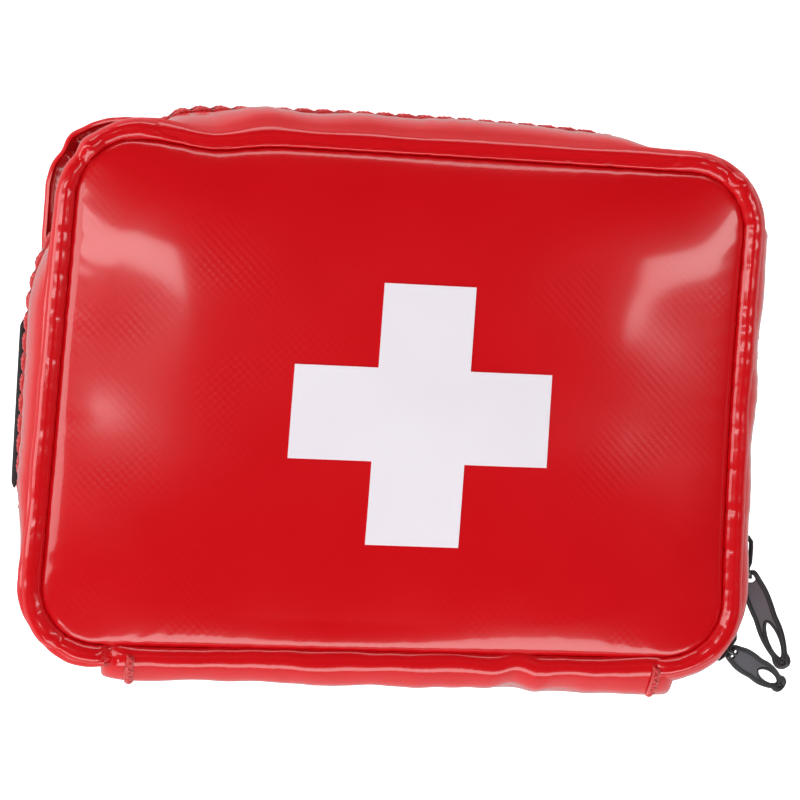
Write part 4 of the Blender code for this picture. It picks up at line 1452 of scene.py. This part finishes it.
@dataclass
class BackShell:
    """The back panel and the belt band under it."""

    sizes: PouchSizes

    def sew(self) -> bpy.types.Object:
        """Make the back panel: flat, with a slight pucker at its seam."""
        s = self.sizes
        outline = s.outline()
        count, inward = 360, 24
        run = np.arange(count) * outline.total / count
        place, _ = outline.at(run)
        t = 1 - (np.arange(inward) / inward) ** 1.2 * 0.98
        x, y = place[:, 0, None] * t, place[:, 1, None] * t
        depth = np.linalg.norm(place, axis=1)[:, None] * (1 - t)[None, :]
        pucker = Ripple(91, outline.total, 40, 90, 12)(run)[:, None]
        z = s.back_z + (1.3 * MM + 0.2 * MM * pucker) * np.exp(-depth / (1.6 * MM)) + 0.05 * MM
        points = np.stack([x, y, z], 2)
        cloth = Cloth("back_panel_skin")
        cloth.lattice(points, np.arange(count + 1), np.arange(inward), wrap_u=True)
        cloth.patch([i * inward + inward - 1 for i in reversed(range(count))])
        cloth.map_from_above()
        made = cloth.finish(RED_PVC)
        return dress(made, "base", "coated_fabric_red", "back_panel")

    def belt_band(self) -> bpy.types.Object:
        """Weave the belt band: ribbed webbing with rounded selvedges, turned up over both sides."""
        low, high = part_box("belt_band")
        s = self.sizes
        side = s.half_width / MM
        outside = high.x / MM
        thickness = 1.5
        half = [
            (0.0, 0.0),
            (side * 0.5, 0.0),
            (side + 2.6, 0.05),
            (side + 5.4, 1.1),
            (side + 7.0, 4.2),
            (outside - 0.5, 12.0),
            (outside - 0.05, 17.5),
            (outside - 0.05, high.z / MM - 0.4),
        ]
        line = smooth_line([(-a, b) for a, b in reversed(half[1:])] + half, 420) * MM
        normal = np.gradient(line, axis=0)
        normal = np.column_stack([-normal[:, 1], normal[:, 0]])
        normal /= np.linalg.norm(normal, axis=1)[:, None]
        width = high.y - low.y
        run = lengths(line)
        across = []
        steps = 34
        for k in range(steps + 1):
            y = low.y + width * k / steps
            edge = min(k, steps - k) / steps * width
            across.append((y, 0.55 * MM * math.exp(-edge / (0.5 * MM))))
        section = across + [(y, thickness * MM - inset) for y, inset in reversed(across)]
        rib = 0.5 + 0.5 * np.cos(2 * math.pi * run / (1.15 * MM))
        points = np.empty((len(line), len(section), 3))
        for j, (y, depth) in enumerate(section):
            outer = j <= steps
            lift = depth + (0.10 * MM * rib if outer else -0.10 * MM * rib)
            points[:, j, 0] = line[:, 0] + normal[:, 0] * lift
            points[:, j, 2] = line[:, 1] + normal[:, 1] * lift
            points[:, j, 1] = y
        cloth = Cloth("belt_band_webbing")
        v = np.array([p[0] for p in section] + [section[0][0]])
        cloth.lattice(points, run, v, wrap_v=True, cap_u=True, flip=True)
        made = cloth.finish(WEBBING)
        return dress(made, "base", "webbing_black", "belt_band")


# Sliders and pulls -----------------------------------------------------------------------------------------


@dataclass
class PullTab:
    """A moulded pull: a black rim round a recessed face painted grey as a painted sheen, with a lens-shaped
    hole and a knobbed tip.
    """

    name: str
    frame: dict[str, Any]
    rim: float = 0.62 * MM
    hole_rim: float = 0.5 * MM
    hole: tuple[float, float, float] = (13.2 * MM, 22.2 * MM, 1.15 * MM)  # start, end and half width
    eye: tuple[float, float, float] = (1.9 * MM, 1.05 * MM, 1.15 * MM)  # middle, half length and half width
    recess: float = 0.32 * MM

    def local_axes(self) -> tuple[Array, Array, Array, Array]:
        """Find the pull's own axes from its frame node.

        Returns:
            The place of its ringed end, and the directions along it, across it and through it.
        """
        joint = next(j for j in self.frame["joints"] if j["name"] == f"{self.name}_swing")
        pivot = np.array(joint["pos_m"])
        mesh = self.frame["nodes"][self.name].data
        points = np.array([v.co for v in mesh.vertices])
        along = points.mean(0) - pivot
        along /= np.linalg.norm(along)
        flat = points - points.mean(0)
        flat = flat - np.outer(flat @ along, along)
        _, _, axes = np.linalg.svd(flat, full_matrices=False)
        across = axes[0] / np.linalg.norm(axes[0])
        through = np.cross(along, across)
        if through[2] < 0:
            through, across = -through, -across
        start = pivot + along * ((points - pivot) @ along).min()
        return start, along, across, through

    def outline(self, count: int) -> Array:
        """Return the pull's closed outline in its own plane, from (along, half width) of one side."""
        half = [
            (0.0, 0.9),
            (0.35, 1.45),
            (2.5, 1.95),
            (6.0, 2.55),
            (12.0, 2.80),
            (16.5, 2.62),
            (19.8, 2.05),
            (21.9, 1.45),
            (22.8, 1.42),
            (23.8, 1.45),
            (24.7, 1.0),
            (25.0, 0.0),
        ]
        one = smooth_line(half, count // 2 + 1) * MM
        other = one[::-1] * np.array([1.0, -1.0])
        ring = np.concatenate([one, other[1:]])
        gap = ring[-1] - ring[0]
        closing = [ring[-1] - gap * t for t in (0.25, 0.5, 0.75)]
        return np.concatenate([ring, closing])

    def lens(self, count: int, grow: float = 0.0) -> Array:
        """Return the finger hole's outline."""
        start, end, half = self.hole[0] - grow, self.hole[1] + grow, self.hole[2] + grow
        t = np.arange(count) / count * 2 * math.pi
        x = (start + end) / 2 + (end - start) / 2 * np.cos(t)
        y = half * np.sign(np.sin(t)) * np.abs(np.sin(t)) ** 1.15
        return np.column_stack([x, y])

    def tube(self, cloth: Cloth, path: Array, radius: Array, slot: int, flat: float = 1.15) -> None:
        """Sweep a rounded rim along a closed path in the pull's plane."""
        n = len(path)
        tangent = np.roll(path, -1, 0) - np.roll(path, 1, 0)
        tangent /= np.linalg.norm(tangent, axis=1)[:, None]
        normal = np.column_stack([tangent[:, 1], -tangent[:, 0]])
        angles = 2 * math.pi * np.arange(10) / 10
        points = np.empty((n, 10, 3))
        for j, a in enumerate(angles):
            points[:, j, :2] = path + normal * (radius * math.cos(a))[:, None]
            points[:, j, 2] = radius * flat * math.sin(a)
        run = np.append(lengths(path), lengths(path)[-1] + 0.3 * MM)
        cloth.lattice(points, run, np.linspace(0, 4 * MM, 11), wrap_u=True, wrap_v=True, slot=slot)

    def mould(self) -> bpy.types.Object:
        """Make the pull and put it where its frame node is."""
        start, along, across, through = self.local_axes()
        cloth = Cloth(f"{self.name}_tab")
        outline = self.outline(110)
        centre = np.array([12.0 * MM, 0.0])
        inset = outline + (centre - outline) / np.linalg.norm(centre - outline, axis=1)[:, None] * self.rim
        near_tip = np.clip((inset[:, 0] - 21.2 * MM) / (1.6 * MM), 0, 1)
        self.tube(cloth, inset, self.rim * (1 + 0.22 * near_tip), 0)
        hole = self.lens(48, 0.45 * MM)
        self.tube(cloth, hole, np.full(len(hole), self.hole_rim), 0, 1.0)
        self.face(cloth, inset, hole)
        for spot in ((23.6, 0.95), (23.6, -0.95), (22.9, 0.0)):
            self.knob(cloth, np.array(spot) * MM, 0.62 * MM)
        points = np.concatenate(cloth.points)
        placed = start + points[:, :1] * along + points[:, 1:2] * across + points[:, 2:] * through
        cloth.points = [placed]
        # The second slot is the pull face, painted grey as a painted sheen on the black plastic.
        made = cloth.finish(PULL_RIM, PULL_FACE_PAINTED_SHEEN)
        return dress(made, self.name, "pull_plastic_grey", self.name)

    def knob(self, cloth: Cloth, spot: Array, radius: float) -> None:
        """Add one of the small grip bumps on the tip."""
        rows, sides = 9, 14
        a = np.linspace(0.05, math.pi - 0.05, rows)
        b = 2 * math.pi * np.arange(sides) / sides
        points = np.empty((rows, sides, 3))
        points[:, :, 0] = spot[0] + radius * np.sin(a)[:, None] * np.cos(b)
        points[:, :, 1] = spot[1] + radius * np.sin(a)[:, None] * np.sin(b)
        points[:, :, 2] = 1.25 * radius * np.cos(a)[:, None]
        cloth.lattice(points, a * MM, np.linspace(0, 2 * MM, sides + 1), wrap_v=True, cap_u=True)

    def face(self, cloth: Cloth, outer: Array, hole: Array) -> None:
        """Fill between the rim and the hole's rim with two recessed faces, and leave the eye open."""
        eye_middle, eye_reach, eye_half = self.eye
        grid_x = np.linspace(0.4 * MM, 24.0 * MM, 120)
        lines = 26
        upper = np.interp(grid_x, outer[: len(outer) // 2, 0], np.abs(outer[: len(outer) // 2, 1]))
        centre = (hole[:, 0].max() + hole[:, 0].min()) / 2
        reach = (hole[:, 0].max() - hole[:, 0].min()) / 2
        inner = 1.6 * MM * np.sqrt(np.clip(1 - ((grid_x - centre) / reach) ** 2, 0, 1))
        ring = eye_half * np.sqrt(np.clip(1 - ((grid_x - eye_middle) / eye_reach) ** 2, 0, 1))
        inner = np.maximum(inner, ring)
        for side in (1, -1):
            t = np.linspace(0, 1, lines)
            y = inner[:, None] + (np.maximum(upper, inner) - inner)[:, None] * t[None, :]
            x = np.broadcast_to(grid_x[:, None], y.shape)
            for level in (self.recess, -self.recess):
                points = np.stack([x, side * y, np.full_like(y, level)], 2)
                # Slot 1 is the face, painted grey: a painted sheen on black plastic.
                cloth.lattice(points, grid_x, t * 3 * MM, slot=1, flip=(side * level) > 0)


@dataclass
class Hardware:
    """Sliders, rings and zip stops, which keep their frame shapes with softened edges."""

    frame: dict[str, Any]

    def soften(self, node: str, finish: Finish, width: float, segments: int = 3) -> bpy.types.Object:
        """Give a frame node its finish and bevel its edges.

        Args:
            node: The frame node's name.
            finish: Its finish.
            width: Bevel width in metres.
            segments: Bevel segments.

        Returns:
            The frame node's object.
        """
        piece = self.frame["nodes"][node]
        piece.data.materials.clear()
        piece.data.materials.append(WARDROBE.get(finish))
        if width:
            bevel = piece.modifiers.new("softened", "BEVEL")
            bevel.width = width
            bevel.segments = segments
            bevel.limit_method = "ANGLE"
            bevel.angle_limit = math.radians(32)
            bevel.harden_normals = False
        piece.data.shade_smooth()
        piece.data.set_sharp_from_angle(angle=math.radians(40))
        return piece

    def fit(self) -> None:
        """Dress every piece of hardware."""
        for node in ("upper_slider", "lower_slider"):
            self.soften(node, ENAMEL, 0.18 * MM)
        for node in ("upper_pull_ring", "lower_pull_ring"):
            self.soften(node, ENAMEL, 0.0)
        for node in ("zip_stop_left", "zip_stop_right"):
            self.soften(node, ENAMEL, 0.12 * MM)
        for node in ("scissors_half_lower", "scissors_half_upper", "scissors_rivet", "tweezers"):
            self.soften(node, STEEL, 0.2 * MM)
        self.soften("back_stiffener", FOAM, 0.4 * MM)
        self.soften("tape_core", CARD_CORE, 0.2 * MM)


# Inside ----------------------------------------------------------------------------------------------------


@dataclass
class Packet:
    """A sealed wrapper: pillowed over what it holds, flat along its seals."""

    node: str
    slot: str
    finish: Finish
    seal: float = 4.0 * MM
    crumple: float = 0.35 * MM
    seed: int = 1
    columns: int = 46

    def make(self) -> bpy.types.Object:
        """Make the packet inside its frame node's box."""
        low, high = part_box(self.node)
        n = self.columns
        x = np.linspace(low.x, high.x, n)
        y = np.linspace(low.y, high.y, n)
        gx, gy = np.meshgrid(x, y, indexing="ij")
        inside = np.minimum(np.minimum(gx - low.x, high.x - gx), np.minimum(gy - low.y, high.y - gy))
        rise = np.clip((inside - self.seal * 0.35) / self.seal, 0, 1)
        rise = np.sin(rise * math.pi / 2) ** 0.6
        middle, half = (low.z + high.z) / 2, (high.z - low.z) / 2
        noise = Crumple(self.seed, 14 * MM, 12)(gx, gy)
        lump = np.clip(self.crumple * noise, -half, half * 0.4) * rise
        thin = 0.12 * MM
        body = (half - self.crumple * 0.9 - thin) * rise + thin
        cloth = Cloth(f"{self.node}_wrap")
        for side in (1, -1):
            z = middle + side * body + (lump if side > 0 else 0)
            points = np.stack([gx, gy, np.clip(z, low.z, high.z)], 2)
            cloth.lattice(points, x, y, flip=side < 0)
        made = cloth.finish(self.finish)
        self.close(made, n)
        return dress(made, "base", self.slot, self.node)

    def close(self, made: bpy.types.Object, n: int) -> None:
        """Close the thin edge between the packet's two sides."""
        mesh = made.data
        points = [v.co.copy() for v in mesh.vertices]
        faces = [tuple(p.vertices) for p in mesh.polygons]
        uvs = [tuple(d.uv) for d in mesh.uv_layers["UVMap"].data]
        rim = [i * n for i in range(n)] + [(n - 1) * n + j for j in range(1, n)]
        rim += [i * n + n - 1 for i in range(n - 2, -1, -1)] + [j for j in range(n - 2, 0, -1)]
        below = n * n
        for a, b in zip(rim, rim[1:] + rim[:1]):
            faces.append((a, b, b + below, a + below)[::-1])
            uvs += [(points[k].x, points[k].y) for k in (a, b, b, a)][::-1]
        fresh = bpy.data.meshes.new(mesh.name + "_closed")
        fresh.from_pydata([tuple(p) for p in points], [], faces)
        layer = fresh.uv_layers.new(name="UVMap")
        layer.data.foreach_set("uv", np.array(uvs, np.float32).reshape(-1))
        fresh.materials.append(mesh.materials[0])
        fresh.shade_smooth()
        made.data = fresh


@dataclass
class WoundRoll:
    """A wound roll: its ends show the turns, and its outside the weave."""

    node: str
    slot: str
    finish: Finish
    core: float
    axis: int = 0
    layer: float = 0.8 * MM

    def make(self) -> bpy.types.Object:
        """Make the roll inside its frame node's box."""
        low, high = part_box(self.node)
        size, centre = high - low, (high + low) / 2
        length = size[self.axis]
        radius = max(size[k] for k in range(3) if k != self.axis) / 2
        half = length / 2
        rings = np.arange(self.core, radius, self.layer / 5)
        wave = 0.22 * MM * np.cos(2 * math.pi * rings / self.layer)
        line = [(r, -half + 0.25 * MM + w) for r, w in zip(rings, wave)]
        line += [(radius, -half + 0.9 * MM), (radius, 0.0), (radius, half - 0.9 * MM)]
        line += [(r, half - 0.25 * MM - w) for r, w in zip(rings[::-1], wave[::-1])]
        section = np.array(line)
        steps = 96
        angle = 2 * math.pi * np.arange(steps) / steps
        wobble = 1 - 0.012 * (1 + np.sin(3 * angle + 1.0)) * 0.5
        points = np.empty((steps, len(section), 3))
        other = [k for k in range(3) if k != self.axis]
        points[:, :, other[0]] = section[None, :, 0] * (np.cos(angle) * wobble)[:, None] + centre[other[0]]
        points[:, :, other[1]] = section[None, :, 0] * (np.sin(angle) * wobble)[:, None] + centre[other[1]]
        points[:, :, self.axis] = section[None, :, 1] + centre[self.axis]
        cloth = Cloth(f"{self.node}_wound")
        u = np.append(angle, 2 * math.pi) * radius
        v = np.append(lengths(section), lengths(section)[-1] + length)
        cloth.lattice(points, u, v, wrap_u=True, wrap_v=True, flip=self.axis != 1)
        made = cloth.finish(self.finish)
        return dress(made, "base", self.slot, self.node)


@dataclass
class PlasterStack:
    """A stack of sticking plasters with round ends."""

    node: str = "plaster_strips"
    count: int = 5

    def make(self) -> bpy.types.Object:
        """Stack the plasters inside their frame node's box."""
        low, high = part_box(self.node)
        centre, size = (low + high) / 2, high - low
        each = size.z / self.count
        cloth = Cloth("plaster_strips_stack")
        for k in range(self.count):
            ring = self.strip(size.x / 2 - 0.3 * MM, size.y / 2 - 0.3 * MM)
            askew = 0.25 * MM * np.array([math.sin(2.1 * k), math.cos(3.3 * k)])
            ring = ring + np.array([centre.x, centre.y]) + askew
            middle = ring.mean(0)
            base = low.z + each * k
            rows = []
            for scale, z in ((0.02, 0.1), (0.97, 0.1), (1.0, 0.25), (1.0, 0.7), (0.97, 0.85), (0.02, 0.85)):
                flat = middle + (ring - middle) * scale
                rows.append(np.column_stack([flat, np.full(len(flat), base + each * z)]))
            points = np.array(rows)
            v = np.append(lengths(ring), lengths(ring)[-1] + MM)
            cloth.lattice(points, np.linspace(0, size.x, 6), v, wrap_v=True, cap_u=True, flip=True)
        made = cloth.finish(PLASTER)
        return dress(made, "base", "plaster_tan", self.node)

    def strip(self, half_width: float, half_length: float) -> Array:
        """Return a long outline with round ends."""
        a = np.linspace(0, math.pi, 14)
        top = np.column_stack([half_width * np.cos(a), half_length - half_width + half_width * np.sin(a)])
        return np.concatenate([top, -top])


@dataclass
class Lid:
    """What is sewn inside the front panel: a net pocket with an elastic edge and the card in it."""

    def sew(self) -> None:
        """Make the pocket, its edge and its card."""
        self.sheet("lid_pocket", "pocket_net", POCKET_NET, "pocket_mesh", 0.15 * MM)
        self.sheet("first_aid_card", "first_aid_card_sheet", CARD, "card_white", 0.2 * MM)
        low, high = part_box("pocket_binding")
        n = 160
        x = np.linspace(low.x, high.x, n)
        middle = (low.z + high.z) / 2
        section = smooth_line([(0.0, 0.0), (0.1, 0.55), (2.0, 0.62), (6.0, 0.62), (7.7, 0.5), (7.8, 0.0)], 16)
        under = section[::-1] * np.array([1.0, -1.0])
        ring = np.concatenate([section, under[1:-1]]) * MM
        points = np.empty((n, len(ring), 3))
        points[:, :, 0] = x[:, None]
        points[:, :, 1] = low.y + 0.1 * MM + ring[None, :, 0]
        ruffle = 1 + 0.12 * np.sin(2 * math.pi * x / (2.4 * MM))
        points[:, :, 2] = middle + ring[None, :, 1] * ruffle[:, None]
        cloth = Cloth("pocket_elastic")
        v = np.append(lengths(ring), lengths(ring)[-1] + 0.3 * MM)
        cloth.lattice(points, x, v, wrap_v=True, cap_u=True, flip=True)
        dress(cloth.finish(WEBBING), "lid", "webbing_black", "pocket_binding")

    def sheet(self, node: str, name: str, finish: Finish, slot: str, sag: float) -> None:
        """Make one thin sheet in a frame node's box."""
        low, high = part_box(node)
        n = 40
        x, y = np.linspace(low.x, high.x, n), np.linspace(low.y, high.y, n)
        gx, gy = np.meshgrid(x, y, indexing="ij")
        z = (low.z + high.z) / 2 + sag * Crumple(len(node), 30 * MM, 8)(gx, gy)
        cloth = Cloth(name)
        cloth.lattice(np.stack([gx, gy, z], 2), x, y)
        made = cloth.finish(finish)
        dress(made, "lid", slot, node)


# Studio ----------------------------------------------------------------------------------------------------


@dataclass(frozen=True)
class SoftBox:
    """One soft box: its place, what it points at, its width and height, its watts and its turn in degrees."""

    name: str
    place: tuple[float, float, float]
    aim: tuple[float, float, float]
    size: tuple[float, float]
    power: float
    spin: float = 0.0

    def hang(self) -> None:
        """Add the light to the scene."""
        light = bpy.data.lights.new(self.name, "AREA")
        light.shape = "RECTANGLE"
        light.size, light.size_y = self.size
        light.energy = self.power
        made = bpy.data.objects.new(self.name, light)
        made.location = self.place
        direction = Vector(self.aim) - Vector(self.place)
        turn = direction.to_track_quat("-Z", "Y").to_matrix()
        turn = turn @ Matrix.Rotation(math.radians(self.spin), 3, "Z")
        made.rotation_euler = turn.to_euler()
        bpy.context.scene.collection.objects.link(made)


SOFT_BOXES = (
    SoftBox("left_box", (-0.41, 0.03, 1.0), (0, 0, 0.04), (0.10, 0.62), 1.4),
    SoftBox("right_box", (0.655, 0.10, 0.94), (0.03, 0.02, 0.04), (0.11, 0.62), 1.4, spin=6),
    SoftBox("corner_box", (-0.44, -0.66, 0.86), (0, 0, 0.04), (0.20, 0.14), 0.7),
    SoftBox("front_fill", (0.1, -1.05, 0.72), (0, 0, 0.03), (1.2, 0.5), 8.2),
    SoftBox("left_fill", (-1.15, 0.0, 0.62), (0, 0, 0.03), (0.5, 1.1), 6.2),
    SoftBox("back_fill", (0.0, 1.15, 0.60), (0, 0, 0.03), (1.2, 0.4), 5.4),
)


@dataclass
class Studio:
    """Tilts are in degrees."""

    sizes: PouchSizes
    distance: float = 0.75
    tilt_left: float = 6.5
    tilt_top: float = 5.0
    roll: float = 3.75
    frame_width: float = 0.1766
    target_y: float = 0.0013
    horizon: float = 0.5
    zenith: float = 0.03

    def floor(self) -> None:
        """Lay a plain pale floor."""
        mesh = bpy.data.meshes.new("floor")
        half = 3.0
        corners = [(-half, -half, 0), (half, -half, 0), (half, half, 0), (-half, half, 0)]
        mesh.from_pydata(corners, [], [(0, 1, 2, 3)])
        made = bpy.data.materials.new("studio_floor")
        made.use_nodes = True
        shader = made.node_tree.nodes["Principled BSDF"]
        shader.inputs["Base Color"].default_value = linear("FFFFFF")
        shader.inputs["Roughness"].default_value = 0.9
        shader.inputs["Emission Color"].default_value = linear("FFFFFF")
        shader.inputs["Emission Strength"].default_value = 0.9
        mesh.materials.append(made)
        plane = bpy.data.objects.new("floor", mesh)
        plane.visible_glossy = False
        bpy.context.scene.collection.objects.link(plane)

    def light(self) -> None:
        """Set the soft boxes and the room's own light."""
        world = bpy.data.worlds.new("studio_world")
        bpy.context.scene.world = world
        world.use_nodes = True
        tree = world.node_tree
        tree.nodes.clear()
        place = add_node(tree, "ShaderNodeTexCoord").outputs["Generated"]
        height = add_node(tree, "ShaderNodeSeparateXYZ", {"Vector": place}).outputs["Z"]
        fade = add_node(
            tree,
            "ShaderNodeMapRange",
            {"Value": height, "From Min": 0.1, "From Max": 0.5, "To Min": self.horizon, "To Max": self.zenith},
            interpolation_type="SMOOTHSTEP",
        )
        sky = add_node(
            tree, "ShaderNodeBackground", {"Color": linear("FFFFFF"), "Strength": fade.outputs["Result"]}
        )
        add_node(tree, "ShaderNodeOutputWorld", {"Surface": sky.outputs[0]})
        for box in SOFT_BOXES:
            box.hang()

    def camera(self) -> None:
        data = bpy.data.cameras.new("camera")
        data.sensor_width = 36.0
        data.lens = 36.0 * self.distance / self.frame_width
        data.clip_start = 0.05
        target = Vector((0.0, self.target_y, self.sizes.crease_z))
        left, up = math.tan(math.radians(self.tilt_left)), math.tan(math.radians(self.tilt_top))
        away = Vector((-left, up, 1.0)).normalized()
        made = bpy.data.objects.new("camera", data)
        made.location = target + away * self.distance
        up_hint = Vector((0.0, 1.0, 0.0))
        forward = -away
        right = forward.cross(up_hint).normalized()
        up_axis = right.cross(forward)
        turn = Matrix((right, up_axis, -forward)).transposed()
        roll = Matrix.Rotation(math.radians(self.roll), 3, "Z")
        made.rotation_euler = (turn @ roll).to_euler()
        bpy.context.scene.collection.objects.link(made)
        bpy.context.scene.camera = made

    def grade(self) -> None:
        """Keep colours as they are, with no film curve."""
        view = bpy.context.scene.view_settings
        view.view_transform = "Standard"
        view.look = "None"
        view.exposure = 0.1
        view.gamma = 1.0


def main() -> None:
    """Build every sub-assembly in order and report each piece."""
    logging.basicConfig(level=logging.INFO, format="%(name)s: %(message)s", stream=sys.stdout)
    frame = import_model()
    sizes = PouchSizes.from_frame(frame["record"])
    studio = Studio(sizes)
    studio.camera()
    studio.light()
    studio.floor()
    studio.grade()

    panel = FrontPanel(sizes)
    strip = BottomStrip(sizes)
    back = BackShell(sizes)
    steps: list[Callable[[], Any]] = [panel.sew, panel.print_cross]
    for front in (True, False):
        row = ZipRow(sizes, front)
        steps += [Welt(sizes, front).sew, SideWall(sizes, front).sew, Topstitch(sizes, front).sew]
        steps += [row.weave_tape, row.wind_coil]
    steps += [strip.sew, back.sew, back.belt_band, Lid().sew, Hardware(frame).fit]
    for side in ("front", "back"):
        for end in ("left", "right"):
            steps.append(lambda name=f"bartack_{side}_{end}": strip.bartack(name))
    steps += [PullTab("upper_pull", frame).mould, PullTab("lower_pull", frame).mould]
    packets = [
        Packet("wound_dressing", "paper_wrap", PAPER, 5 * MM, 0.6 * MM, 11),
        Packet("triangular_bandage", "gauze_white", GAUZE, 3 * MM, 0.4 * MM, 12),
        Packet("rescue_blanket", "foil_gold", FOIL, 3 * MM, 0.6 * MM, 13),
        Packet("gloves_packet", "glove_blue", GLOVE_FILM, 4 * MM, 0.8 * MM, 14),
    ]
    for k in (1, 2, 3):
        packets.append(Packet(f"gauze_pack_{k}", "paper_wrap", PAPER, 3.5 * MM, 0.25 * MM, 20 + k))
    for k in (1, 2):
        packets.append(Packet(f"wipe_sachet_{k}", "sachet_white", SACHET, 2.5 * MM, 0.2 * MM, 30 + k))
    steps += [packet.make for packet in packets]
    steps += [
        WoundRoll("bandage_roll_large", "gauze_white", GAUZE, 3.2 * MM).make,
        WoundRoll("bandage_roll_small", "gauze_white", GAUZE, 3.2 * MM).make,
        WoundRoll("tape_roll", "tape_white", ADHESIVE, 13.0 * MM, 2, 0.5 * MM).make,
        PlasterStack().make,
    ]
    for step in steps:
        made = step()
        if made is not None:
            LOG.info("%s: %d faces", made.name, len(made.data.polygons))


if __name__ == "__main__":
    main()
